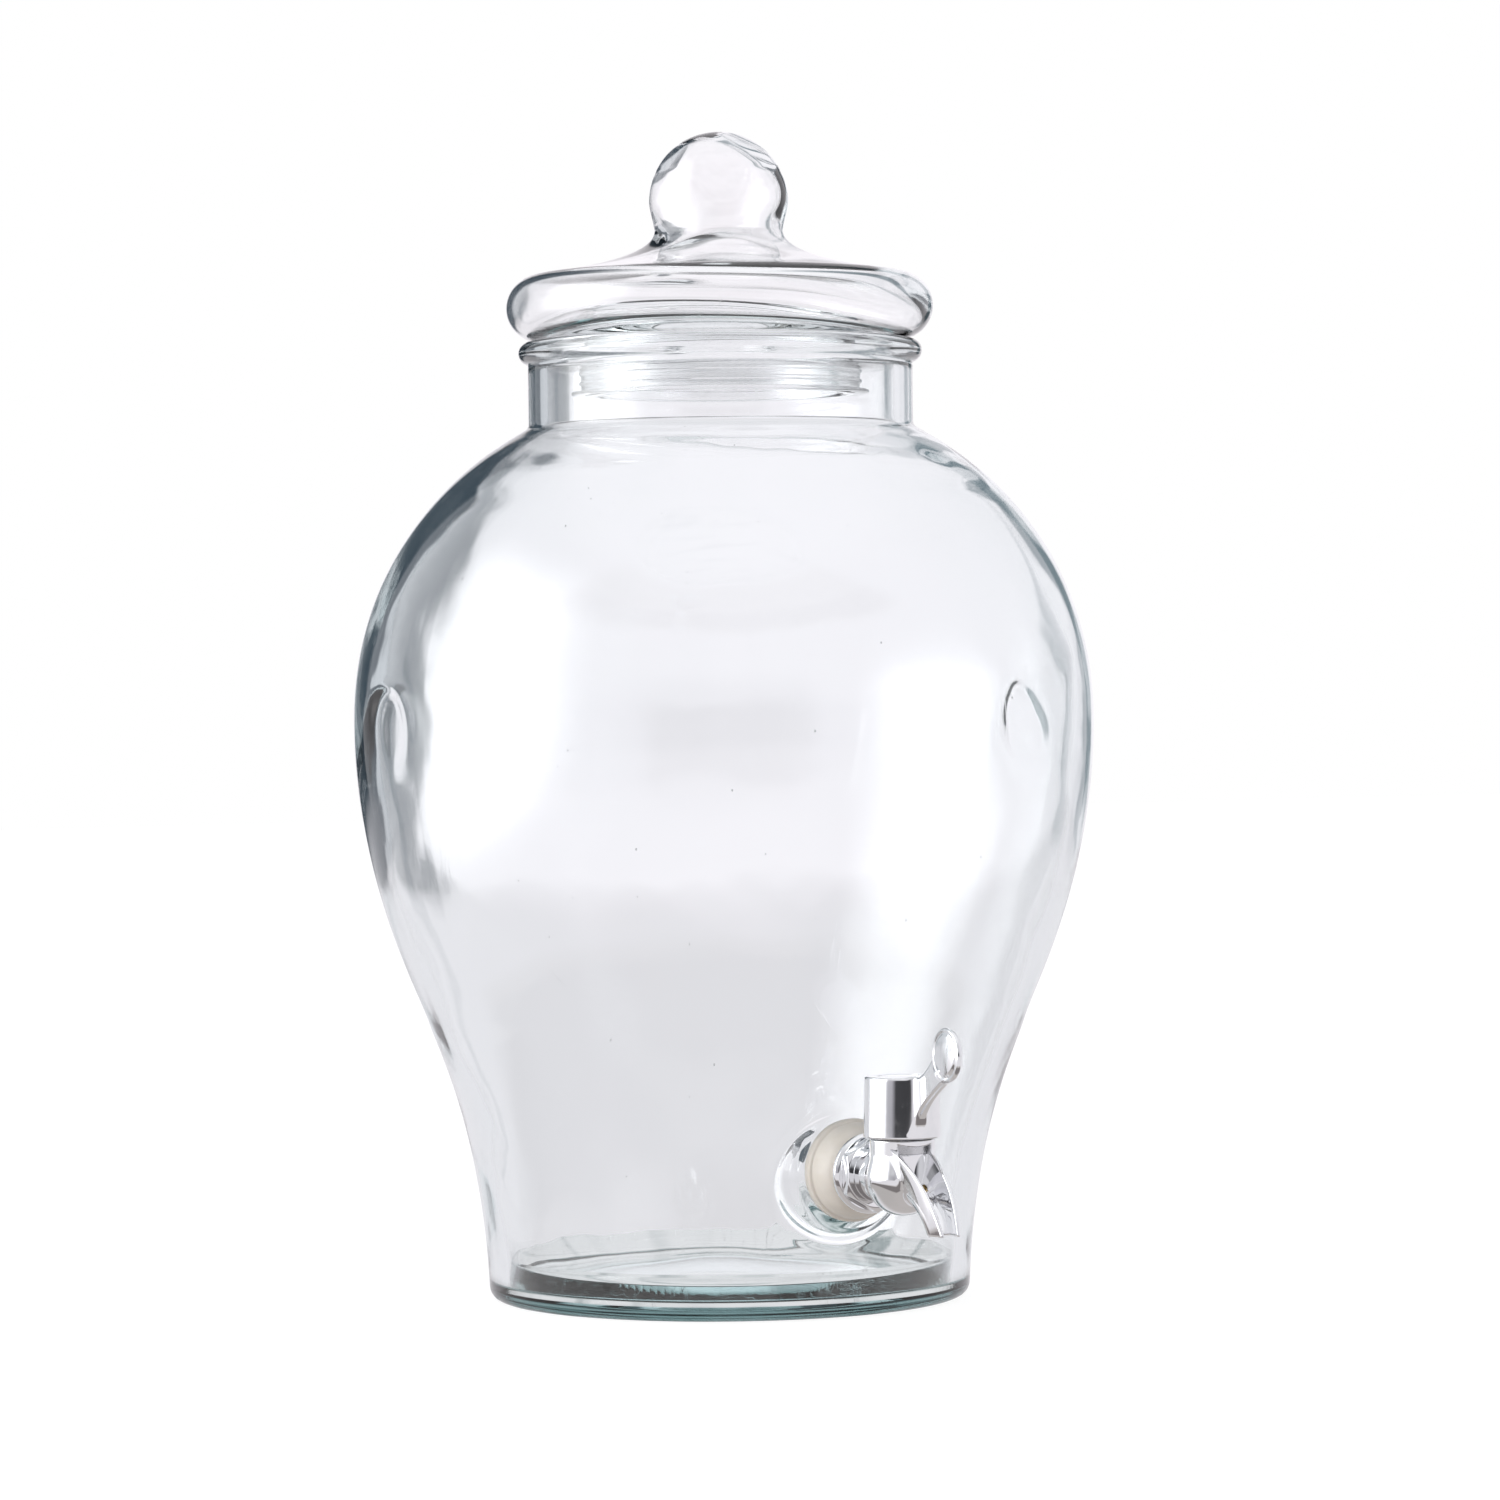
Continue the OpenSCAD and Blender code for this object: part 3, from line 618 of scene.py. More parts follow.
def grip_depth(x, y, z, inner):
    """How far a grip pushes the wall towards the axis."""
    edge = np.where(z > GRIP_TOP - GRIP_HALF,
                    np.hypot(y, z - GRIP_TOP + GRIP_HALF), abs(y)) - GRIP_HALF
    side = np.clip(abs(y) / GRIP_HALF, 0, 1.4) ** 2
    soft = (4.5 if inner else 2.2) + 13.0 * (1 - step(194, 222, z)) + 4.5 * side
    mask = 1 - step(-soft, soft, edge + (0.8 if inner else 0.0))
    over = abs(x) - GRIP_PANEL + (9.5 if inner else 0)
    over = np.maximum(over, 0) ** 2 / (np.maximum(over, 0) + 0.8)
    return mask * step(176, 226, z) * over * (0.35 if inner else 0.8)


def boss_height(x, z, inner):
    """Distance of the wall from the X-Z plane near the tap, with its flat seat."""
    line = inner_wall if inner else wall
    radius = np.interp(z, line[:, 1], line[:, 0])
    plain = np.sqrt(radius ** 2 - x ** 2)
    reach = np.hypot(x, z - TAP_Z)
    level, edge = (SEAT - SEAT_WALL, SEAT_IN) if inner else (SEAT, SEAT_OUT)
    t = np.maximum(reach - edge, 0)
    drop = np.where(t < 3.0, t * t / 4.0, 2.25 + (t - 3.0) * 1.5)
    # smooth_max stands proud where the two meet, so that much is taken off again
    proud = SEAT_BLEND / 4 * np.exp(-((level - drop - plain) / SEAT_BLEND * 2) ** 2)
    return smooth_max(level - drop, plain, SEAT_BLEND) - proud


def wall_points(angle, radius, z, inner):
    """Wall points with ripples, grips and the tap's seat."""
    r = radius + ripple_depth(angle, z, inner)
    x, y = r * np.cos(angle), r * np.sin(angle)
    x = x - np.sign(x) * grip_depth(x, y, z, inner)
    near = (abs(z - TAP_Z) < 40) & (y < 0) & (abs(x) < 40)
    seat = -boss_height(np.where(near, x, 0), np.where(near, z, TAP_Z + 60), inner)
    reach = np.hypot(x, z - TAP_Z)
    fade = step(30, 34, reach)
    y = np.where(near & (reach < 34), y * fade + seat * (1 - fade), y)
    return np.stack([x, y, z], -1)


# Radii of the rings round the hole, close together where the seat bends into the wall
RINGS_OUT = [
    HOLE, 12, 16, 19.5, 21.2, 21.9, 22.5, 23, 23.5, 24, 24.5, 25, 25.6, 26.4, 27.5, 28.8
]
RINGS_IN = [
    HOLE, 10.5, 12.5, 14, 15, 15.8, 16.6, 17.4, 18.2, 19, 20, 21.2, 22.6, 24.4, 26.4, 28.6
]
SQUARE_TO_ROUND = 4


def jar_mesh():
    """The jar as one skin: a grid with its two windows cut out, and rings in each window
    from its square edge to the round hole, which joins the two walls."""
    rows, cols = len(jar_profile), len(columns)
    angle, radius, z = np.broadcast_arrays(columns, jar_profile[:, :1], jar_profile[:, 1:])
    grid = turned(radius, angle, z)
    walls = ((outer_start, outer_rows, False), (inner_start, inner_rows[::-1], True))
    for start, line, inner in walls:
        s = slice(start, start + len(line))
        grid[s] = wall_points(angle[s], radius[s], z[s], inner)
    body = grid[1:-1].reshape(-1, 3)
    verts = [body, grid[0].mean(0)[None], grid[-1].mean(0)[None]]
    faces = grid_faces(rows - 2, cols)
    row, col = faces[:, 0] // cols, faces[:, 0] % cols
    c0, c1 = tap_left, tap_left + TAP_COLUMNS
    in_cols = (col >= c0) & (col < c1)
    keep = np.ones(len(faces), bool)
    windows = []
    for start, line, inner in walls:
        at = np.nonzero((line[:, 1] > WINDOW_LOW - 0.01) & (line[:, 1] < WINDOW_HIGH + 0.01))[0]
        r0, r1 = start - 1 + at[0], start - 1 + at[-1]
        keep &= ~(in_cols & (row >= r0) & (row < r1))
        windows.append((r0, r1, inner))
    faces = [faces[keep]]
    total = sum(len(v) for v in verts)
    holes, turn = [], None
    for r0, r1, inner in windows:
        low, high = (r1, r0) if inner else (r0, r1)
        upward = np.arange(low, high, -1 if inner else 1)
        downward = np.arange(high, low, 1 if inner else -1)
        loop = np.concatenate([
            low * cols + np.arange(c0, c1), upward * cols + c1,
            high * cols + np.arange(c1, c0, -1), downward * cols + c0,
        ])
        edge = body[loop][:, [0, 2]] - [0, TAP_Z]
        if turn is None:
            turn = np.arctan2(edge[:, 1], edge[:, 0])
        circle = np.stack([np.cos(turn), np.sin(turn)], 1)
        radii = RINGS_IN if inner else RINGS_OUT
        rings = [
            edge * (1 - t) + circle * radii[-1] * t
            for t in np.arange(1, SQUARE_TO_ROUND + 1) / SQUARE_TO_ROUND
        ] + [circle * r for r in radii[-2::-1]]
        line = inner_wall if inner else wall
        index = [loop]
        for p in rings:
            x, z = p[:, 0], p[:, 1] + TAP_Z
            forward = np.sqrt(np.interp(z, line[:, 1], line[:, 0]) ** 2 - x * x)
            depth = ripple_depth(np.arctan2(-forward, x) % (2 * math.pi), z, inner)
            y = -boss_height(x, z, inner) - depth * step(25, 34, np.hypot(x, z - TAP_Z))
            verts.append(np.stack([x, y, z], 1))
            index.append(total + np.arange(len(p)))
            total += len(p)
        for a, b in zip(index, index[1:]):
            faces.append(band(a, b)[:, ::-1] if inner else band(a, b))
        holes.append(index[-1])
    faces.append(band(*holes))
    return np.vstack(verts), [np.vstack(faces), pole_fans(rows - 2, cols)]


def icosphere():
    """A ball of radius 1: an icosahedron with each face split in four."""
    t = (1 + 5 ** 0.5) / 2
    v = [(-1, t, 0), (1, t, 0), (-1, -t, 0), (1, -t, 0), (0, -1, t), (0, 1, t),
         (0, -1, -t), (0, 1, -t), (t, 0, -1), (t, 0, 1), (-t, 0, -1), (-t, 0, 1)]
    f = [(0, 11, 5), (0, 5, 1), (0, 1, 7), (0, 7, 10), (0, 10, 11), (1, 5, 9), (5, 11, 4),
         (11, 10, 2), (10, 7, 6), (7, 1, 8), (3, 9, 4), (3, 4, 2), (3, 2, 6), (3, 6, 8),
         (3, 8, 9), (4, 9, 5), (2, 4, 11), (6, 2, 10), (8, 6, 7), (9, 8, 1)]
    v = [np.array(p, float) / np.linalg.norm(p) for p in v]
    mid, out = {}, []
    for a, b, c in f:
        m = []
        for p, q in ((a, b), (b, c), (c, a)):
            key = (min(p, q), max(p, q))
            if key not in mid:
                mid[key] = len(v)
                w = v[p] + v[q]
                v.append(w / np.linalg.norm(w))
            m.append(mid[key])
        out += [(a, m[0], m[2]), (b, m[1], m[0]), (c, m[2], m[1]), tuple(m)]
    return np.array(v), np.array(out)


def bubbles(count):
    """Small air bubbles in the glass, drawn out a little along the wall."""
    ball, tri = icosphere()
    verts, faces = [], []
    for _ in range(count):
        s = rng.uniform(20, lengths(wall)[-1] - 12)
        r, z = along(wall, np.array([s]))[0]
        a = rng.uniform(0, 2 * math.pi)
        depth = rng.uniform(2.0, 5.4)
        size = 0.12 + 0.22 * rng.random() ** 3
        tall = rng.uniform(1.0, 1.9)
        at_tap = abs(a - TAP_ANGLE) * TAP_RADIUS < 45 and abs(z - TAP_Z) < 45
        off_side = min(abs(a), abs(a - math.pi), abs(a - 2 * math.pi))
        if at_tap or (off_side < 0.22 and 150 < z < 250):
            continue
        out = np.array([math.cos(a), math.sin(a), 0])
        p = ball * [size, size, size * tall]
        p = p + out * (r - depth) + [0, 0, z]
        faces.append(tri[:, ::-1] + sum(len(v) for v in verts))
        verts.append(p)
    return np.vstack(verts), np.vstack(faces)


verts, faces = jar_mesh()
bubble_verts, bubble_faces = bubbles(120)
faces = outward(verts, faces) + [bubble_faces + len(verts)]
piece("jar_glass", np.vstack([verts, bubble_verts]), faces, "jar", "glass", GLASS, "jar")

# ---- lid and its seal

# Heights are from LID, where the lid rests on the jar's lip
LID = 362.9
PLUG, PLUG_FOOT, BRIM, ROLL_RADIUS = 51.4, -21, 68.5, 12.5
KNOB_NECK, KNOB, KNOB_HEIGHT, KNOB_WALL = 24.5, 26.4, 52.6, 3.0
NECK_GROOVE, KNOB_GROOVE = 41.4, 63.4
neck_point = (KNOB_NECK, NECK_GROOVE)
dome = bezier([(BRIM, 2 * ROLL_RADIUS), (48, 28), (KNOB_NECK, 33), neck_point], 34)
swell = bezier([neck_point, (KNOB_NECK, 45.4), (KNOB, 48.6), (KNOB, KNOB_HEIGHT)], 24)
lid_line = np.vstack([
    np.linspace((PLUG, PLUG_FOOT), (PLUG, -3), 10)[:-1],
    arc((PLUG + 3, -3), 3, 180, 90, 6),
    np.linspace((PLUG + 3, 0), (BRIM, 0), 7)[1:-1],
    arc((BRIM, ROLL_RADIUS), ROLL_RADIUS, -90, 90, 32), dome, swell,
])
lid_inner = inset(lid_line, 4.6, KNOB_WALL)
knob_out = arc((0, KNOB_HEIGHT), KNOB, 0, 90, 48)[1:]
knob_in = arc((0, KNOB_HEIGHT), KNOB - KNOB_WALL, 90, 0, 24)[:-1]
LID_WAVES, KNOB_WAVES = waves(8, (1, 4), (18, 60), 21), waves(6, (1, 3), (20, 50), 23)


def lid_mesh(columns=168):
    """The lid as one skin: up the outside and over the knob, and the same inside. The two
    are joined at the plug's foot."""
    outside = np.vstack([lid_line, knob_out]) + [0, LID]
    inside = np.vstack([knob_in, lid_inner[::-1]]) + [0, LID]
    angles = np.arange(columns) * 2 * math.pi / columns

    def ring(line, inner):
        r, z = line[:, :1], line[:, 1:]
        d = np.gradient(line, axis=0)
        d /= np.maximum(np.linalg.norm(d, axis=1), 1e-9)[:, None]
        normal = np.stack([d[:, 1], -d[:, 0]], 1)
        rise = z - LID
        if inner:
            amount = 0.55 * ripple(angles, z, LID_WAVES) * step(-18, -6, rise) * step(0, 14, r)
        else:
            amount = 0.05 * ripple(angles, z, KNOB_WAVES)
            amount = amount * step(16, 30, rise) * step(0, 10, r)
            amount = amount - 0.22 * np.exp(-(rise - NECK_GROOVE) ** 2)
            amount = amount - 0.12 * np.exp(-(rise - KNOB_GROOVE) ** 2)
        p = turned(r + amount * normal[:, :1], angles, z + amount * normal[:, 1:])
        if inner:
            lean = step(2, 20, rise)
            p[..., 0] -= 0.4 * lean
            p[..., 1] += 0.2 * lean
        return p

    outer, inner = ring(outside, False), ring(inside, True)
    rows = len(outside) + len(inside) - 2
    verts = np.vstack([
        inner[1:].reshape(-1, 3), outer[:-1].reshape(-1, 3),
        inner[0].mean(0)[None], outer[-1].mean(0)[None],
    ])
    return verts, [grid_faces(rows, columns), pole_fans(rows, columns)]


piece("lid_glass", *lid_mesh(), "lid", "glass", LID_GLASS, "lid")

# The seal round the plug, upwards from the plug's foot: four ribs, and a fin below the last
SLEEVE_IN, SLEEVE_OUT, RIB, LONG_RIB, FIN = 51.45, 52.85, 53.6, 56.4, 65.4


def rib(z, tip):
    return [(SLEEVE_OUT, z), (tip, z + 0.3), (tip, z + 1.3), (SLEEVE_OUT, z + 1.6)]


seal_line = [
    (SLEEVE_IN, 0.05), (SLEEVE_OUT, 0.05), *rib(0, LONG_RIB)[1:], *rib(3.8, RIB),
    *rib(7.6, RIB)[:3], (SLEEVE_OUT, 9.3), (62, 9.7), (FIN, 9.65), (FIN, 10.75),
    (SLEEVE_OUT, 10.8), *rib(11.4, RIB)[:2], (RIB, 12.6), (52.9, 13), (SLEEVE_IN, 13),
]
seal_line = rounded(np.array(seal_line) + [0, LID + PLUG_FOOT], 0.35, 3)
piece("lid_seal_sleeve", *lathe(seal_line, 144), "lid", "clear_plastic", CLEAR, "lid_seal")

# ---- tap fixings
# Outlines are (radius, distance forward from the outer seat)

BORE = 8.15


def on_shank(verts):
    """From a lathe's frame to the shank's: Z becomes forward, from the outer seat."""
    return np.stack([verts[:, 0], -SEAT - verts[:, 2], TAP_Z + verts[:, 1]], 1)


def shank_piece(name, outline, slot, mat, node):
    verts, faces = lathe(outline, 128)
    piece(name, on_shank(verts), faces, "jar", slot, mat, node)


def ring_outline(radius, back, front, hole_edge, rim_edge):
    corners = [(BORE, back), (radius, back), (radius, front), (BORE, front)]
    return rounded(corners, [hole_edge, rim_edge, rim_edge, hole_edge])


gasket = np.vstack([
    [(8.2, 0.06), (13.0, 0.06), (18.2, 0.06)], arc((18.2, 0.66), 0.6, -90, 0, 5)[1:],
    [(18.8, 1.9), (18.86, 2.1), (18.86, 2.3), (18.8, 2.5)], arc((17.5, 3.0), 1.3, 0, 80, 7),
    bezier([(17.7, 4.3), (17.45, 8.3), (16, 12.2), (13.9, 13.4)], 14),
    [(13.4, 13.65), (11, 13.68), (8.2, 13.68)],
])
shank_piece("outer_gasket_moulding", gasket, "silicone", SILICONE, "outer_gasket")
washer = rounded([
    (8.2, 13.7), (13.6, 13.7), (14.7, 14.7), (14.7, 16.2), (13.5, 17.28), (8.2, 17.28)
], [0.2, 0.5, 0.6, 0.6, 0.7, 0.2])
shank_piece("outer_washer_turned", washer, "chrome", CHROME, "outer_washer")
shank_piece("inner_gasket_moulding", ring_outline(13.6, -12, -8.05, 0.3, 0.9),
            "silicone", SILICONE, "inner_gasket")
shank_piece("inner_washer_pressed", ring_outline(12.4, -13.5, -12, 0.2, 0.45),
            "steel", STEEL, "inner_washer")


def net_piece(name, distance, low, high, cell, place, *rest):
    """A piece meshed from its distance function; place maps local points to millimetres."""
    verts, quads, normals = surface_net(distance, low, high, cell)
    normals = place(normals) - place(np.zeros((1, 3)))
    piece(name, place(verts), [quads], *rest, normals)


def nut_distance(flats, height):
    """A chamfered hex nut with a plain hole, from z = 0 up."""

    def distance(x, y, z):
        d = abs(x)
        for a in (60, 120):
            c, s = math.cos(math.radians(a)), math.sin(math.radians(a))
            d = smooth_max(d, abs(c * x + s * y), 0.5)
        r, depth = np.hypot(x, y), height / 2 - abs(z - height / 2)
        d = smooth_max(d - flats / 2, (r - flats / 2 - 1.73 * depth) / 2.0, 0.3)
        d = smooth_max(d, -depth, 0.3)
        lead = r - BORE - np.maximum(0.6 - depth, 0)
        return smooth_max(d, -lead, 0.2)

    return distance


def nut_piece(name, flats, height, back, slot, mat, node):
    net_piece(name, nut_distance(flats, height), (-15, -15, -0.8), (15, 15, height + 0.8), 0.3,
              lambda p: on_shank(p + [0, 0, back]), "jar", slot, mat, node)


nut_piece("outer_nut_hex", 24.4, 5.0, 17.3, "chrome", CHROME, "outer_nut")
nut_piece("inner_nut_hex", 21.5, 7.0, -20.5, "steel", STEEL, "inner_nut")

# Threaded shank: a helical thread outside, the water way inside
THREAD_FROM, THREAD_TO, PITCH = -23.5, 24.0, 1.5
THREAD_ROOT, TOOTH, WAY, WAY_WIDE = 7.3, 0.68, 4.5, 6.0


def shank_mesh(columns=72, per_turn=9):
    rows = int((THREAD_TO - THREAD_FROM) / PITCH * per_turn)
    h = np.linspace(THREAD_FROM, THREAD_TO, rows)[:, None]
    a = np.arange(columns) * 2 * math.pi / columns
    phase = (h / PITCH - a / (2 * math.pi)) % 1.0
    tooth = step(0.06, 0.44, phase) * (1 - step(0.56, 0.94, phase))
    ease = step(THREAD_FROM, THREAD_FROM + 1.2, h)
    r = 7.0 * (1 - ease) + (THREAD_ROOT + TOOTH * tooth) * ease
    grid = np.vstack([turned(radius, a, height).reshape(-1, columns, 3) for radius, height in (
        (5.0, THREAD_FROM), (6.6, THREAD_FROM), (r, h), (WAY_WIDE, THREAD_TO),
        (WAY, THREAD_TO), (WAY, 10), (WAY, -10), (WAY, THREAD_FROM + 0.5),
    )])
    faces = grid_faces(len(grid), columns, closed_rows=True)
    return on_shank(grid.reshape(-1, 3)), [faces]


piece("tap_shank_thread", *shank_mesh(), "jar", "chrome", CHROME, "tap_body")

# ---- tap casting
# Local frame: x, forward from the lever's axis, up from the shank's axis


def at_valve(level=0.0):
    def place(p):
        return np.stack([p[:, 0], -SEAT - REACH - p[:, 1], TAP_Z + level + p[:, 2]], 1)
    return place


def rod(r, radius, height, low, high, k):
    """A rod about an axis, from low to high, with its edges rounded by k."""
    return smooth_max(smooth_max(r - radius, height - high, k), low - height, k)


# The spout's open trough follows two arcs in the plane of the tap: (forward, up, radius)
SPOUT_FLOOR, SPOUT_TOP = (7.65, -29.5, 27.0), (-8.3, -35.3, 48)
SPOUT_HALF, SPOUT_WIDE, SPOUT_NARROWING, SPOUT_SLOPE = 6.3, 9.45, 4.7, math.radians(38)
BALL, COLLAR, VALVE_NECK, VALVE_BORE, GLAND_BORE, PORT = 13.3, 10.0, 11.7, 7.66, 9.6, 2.6
PORT_SLOPE = math.radians(18)


def trough(x, f, u, inward, lift, drop, k, lean=0.0):
    """The spout's shape, moved inward by a wall that lean makes thicker with depth. lift
    and drop carry it past the spout's top and mouth."""
    q = np.hypot(f - SPOUT_FLOOR[0], u - SPOUT_FLOOR[1]) - SPOUT_FLOOR[2]
    top = np.hypot(f - SPOUT_TOP[0], u - SPOUT_TOP[1]) - SPOUT_TOP[2]
    side, depth = abs(x), np.maximum(-top, 0)
    inward = inward + lean * depth + 0.15 * np.maximum(7 - depth, 0)
    half = SPOUT_HALF - inward
    section = np.where(q < 0, np.hypot(q, x) - half, (side - half - 0.2 * q) / 1.02)
    t = (f * math.cos(SPOUT_SLOPE) - u * math.sin(SPOUT_SLOPE) + 14) / 54
    taper = side - (SPOUT_WIDE - SPOUT_NARROWING * np.clip(t, 0, 1) ** 1.5) + inward
    d = smooth_max(section, taper, max(k, 0.6))
    d = smooth_max(d, top - lift, k)
    d = smooth_max(d, -drop - u, k)
    return np.maximum(d, -f)


def casting(x, f, u):
    around = np.hypot(x, f)
    d = np.sqrt(x * x + f * f + u * u) - BALL
    d = smooth_min(d, rod(np.hypot(x, u), COLLAR, f, -18.35, 0.0, 0.5), 1.4)
    d = smooth_min(d, rod(around, VALVE_NECK, u, 0.0, 14.3, 0.5), 1.6)
    d = smooth_min(d, trough(x, f, u, 0.0, 0.0, 18.0, 0.7), 1.6)
    channel = trough(x, f, u, 1.35, 3.0, 21.0, 0.3, 0.25)
    channel = smooth_max(channel, VALVE_BORE + 2.0 - around, 0.5)
    d = smooth_max(d, -channel, 1.0)
    bore = rod(around, VALVE_BORE, u, -9.0, 20.0, 0.2)
    gland = rod(around, GLAND_BORE, u, 9.3, 20.0, 0.2)
    port = np.hypot(x, u * math.cos(PORT_SLOPE) + f * math.sin(PORT_SLOPE)) - PORT
    port = np.maximum(port, np.maximum(-f, f - 11.0))
    way = np.maximum(np.hypot(x, u) - WAY_WIDE, np.maximum(f + 7.0, -f - 30.0))
    for hole in (bore, gland, port, way):
        d = smooth_max(d, -hole, 0.3)
    return d


net_piece("tap_casting", casting, (-15, -20, -19.5), (15, 38.5, 15.6), 0.36,
          at_valve(), "jar", "chrome", CHROME, "tap_body")

# ---- handle


def outline_distance(outline):
    """Signed distance in the plane to a closed outline."""
    a, b = outline, np.roll(outline, -1, axis=0)

    def distance(px, py):
        shape = np.shape(px)
        x, y = np.ravel(px), np.ravel(py)
        best, inside = np.full(x.shape, 1e9), np.zeros(x.shape, bool)
        for (ax, ay), (bx, by) in zip(a, b):
            ex, ey = bx - ax, by - ay
            t = np.clip(((x - ax) * ex + (y - ay) * ey) / (ex * ex + ey * ey), 0, 1)
            best = np.minimum(best, (x - ax - t * ex) ** 2 + (y - ay - t * ey) ** 2)
            if ay != by:
                cross = ((ay > y) != (by > y)) & (x < ex * (y - ay) / ey + ax)
                inside ^= cross
        d = np.sqrt(best)
        return np.where(inside, -d, d).reshape(shape)

    return distance


# The handle's foot above the shank's axis, and the middle of its thumb disc
HANDLE = 14.8
THUMB, THUMB_RADIUS, THUMB_GROOVE = (35.9, 31.4), 9.7, 7.9
BARREL, BARREL_TAPER, BARREL_TOP = 13.9, 0.7, 22.0
arm_start, arm_tip = (12.5, 3.8), (37.3, 23.1)
disc_back, arm_end = (27.0, 31.4), (10.4, 21.2)
arm_line = np.vstack([
    [(6, 3.8), arm_start], bezier([arm_start, (17, 12), (26, 17), arm_tip], 12),
    [THUMB, disc_back], bezier([disc_back, (22.5, 26), (18, 22), arm_end], 12), [(6, 21.2)],
])
arm_flat = outline_distance(arm_line)
# The flat distance is tabulated once, because it is asked for many times
TABLE_STEP = 0.1
table_f, table_u = np.arange(-2, 50, TABLE_STEP), np.arange(-4, 46, TABLE_STEP)
arm_table = arm_flat(*np.meshgrid(table_f, table_u, indexing="ij"))


def arm_distance(f, u):
    i = np.clip((f - table_f[0]) / TABLE_STEP, 0, len(table_f) - 1.001)
    j = np.clip((u - table_u[0]) / TABLE_STEP, 0, len(table_u) - 1.001)
    i0, j0 = i.astype(int), j.astype(int)
    s, t = i - i0, j - j0
    low, high = (arm_table[i0, j] * (1 - s) + arm_table[i0 + 1, j] * s for j in (j0, j0 + 1))
    return low * (1 - t) + high * t


def handle(x, f, u):
    around = np.hypot(x, f)
    radius = BARREL - BARREL_TAPER * np.clip(u / BARREL_TOP, 0, 1)
    barrel = smooth_max(smooth_max(around - radius, u - BARREL_TOP, 1.0), -u, 0.7)
    half = 2.0 - 0.35 * step(15, 27, f)
    arm = smooth_max(arm_distance(f, u), abs(x) - half, 1.5)
    reach = np.hypot(f - THUMB[0], u - THUMB[1])
    back = np.sqrt((reach / THUMB_RADIUS) ** 2 + (np.maximum(x + 0.9, 0) / 3.4) ** 2 + 1e-9)
    back = (back - 1) * np.where(x > -0.9, 4.0, THUMB_RADIUS)
    groove = 0.45 * np.exp(-((reach - THUMB_GROOVE) / 0.7) ** 2)
    disc = smooth_max(back, -x - 2.5 + reach * reach / 120 + groove, 0.9)
    d = smooth_min(arm, disc, 0.7)
    d = smooth_min(barrel, d, 3.2)
    d = np.maximum(d, -u)
    holes = [
        rod(around, 8.5, u, 20.3, 30.0, 0.1), rod(around, 7.6, u, 16.0, 30.0, 0.1),
        rod(around, 2.3, u, 12.0, 17.0, 0.1), rod(around, 4.7, u, -2.0, 13.0, 0.1),
        rod(around, 9.5, u, -2.0, 3.0, 0.1),
    ]
    for hole in holes:
        d = smooth_max(d, -hole, 0.25)
    return d


net_piece("lever_casting", handle, (-15, -15, -1.0), (15, 47, 42.5), 0.42,
          at_valve(HANDLE), "lever", "chrome", CHROME, "handle")

cap_line = [(0, 20.3), (8.0, 20.3), (8.4, 20.7), (8.4, 21.5), (8.1, 21.85)]
cap_line = np.vstack([cap_line, bezier([cap_line[-1], (6, 22.0), (3, 22.0), (0, 22.0)], 8)])
verts, faces = lathe(cap_line + [0, TAP_Z + HANDLE])
verts[:, 1] -= SEAT + REACH
piece("handle_cap_disc", verts, faces, "lever", "chrome", CHROME, "handle_cap")

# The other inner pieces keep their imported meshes, with finished materials
for node, mat in {
    "valve_core": BRASS, "core_ring_upper": BLACK, "core_ring_lower": BLACK, "stem_ring": BLACK,
    "glide_washer": BLACK, "inlet_seal": WHITE, "gland_ring": STEEL, "handle_screw": STEEL,
    "screw_washer": STEEL,
}.items():
    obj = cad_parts[node]
    if not obj.material_slots:
        obj.data.materials.append(mat)
    for held in obj.material_slots:
        held.material = mat

# ---- floor, light and camera
# From here on lengths are in metres

CAMERA_TURN, CAMERA_REACH, CAMERA_HEIGHT = math.radians(26.1), 2.1, 0.241
toward = Vector((-math.sin(CAMERA_TURN), -math.cos(CAMERA_TURN), 0))
to_right = Vector((math.cos(CAMERA_TURN), -math.sin(CAMERA_TURN), 0))


# The studio's colour by direction: degrees from the camera's side, left is negative
BACKDROP, SOFT_BOX, OVERHEAD, DARK_SIDE_TOP = (
    (1.0, 0.965, 1.01), (4.6, 4.6, 4.65), (1.0, 1.0, 1.03), (0.72, 0.72, 0.75)
)
WHITE_LIGHT, FLOOR_HALF, FLOOR_LEVEL = (1, 1, 1, 1), 6.0, -0.0003
ROOM = [
    (-180, BACKDROP), (-170.5, (0.94, 0.92, 0.96)), (-168.5, (0.07, 0.09, 0.11)),
    (-148, (0.05, 0.07, 0.09)), (-146, (0.62, 0.64, 0.68)), (-120, (0.76, 0.76, 0.80)),
    (-68, (0.74, 0.74, 0.78)), (-30, (0.46, 0.45, 0.49)), (-18, (0.06, 0.06, 0.065)),
    (24, (0.05, 0.05, 0.055)), (31, (0.60, 0.59, 0.64)), (60, (0.78, 0.77, 0.82)),
    (110, (0.86, 0.85, 0.89)), (153, (0.92, 0.90, 0.94)), (155, (0.20, 0.25, 0.28)),
    (162, (0.16, 0.21, 0.24)), (163.5, (0.95, 0.93, 0.97)), (180, BACKDROP),
]


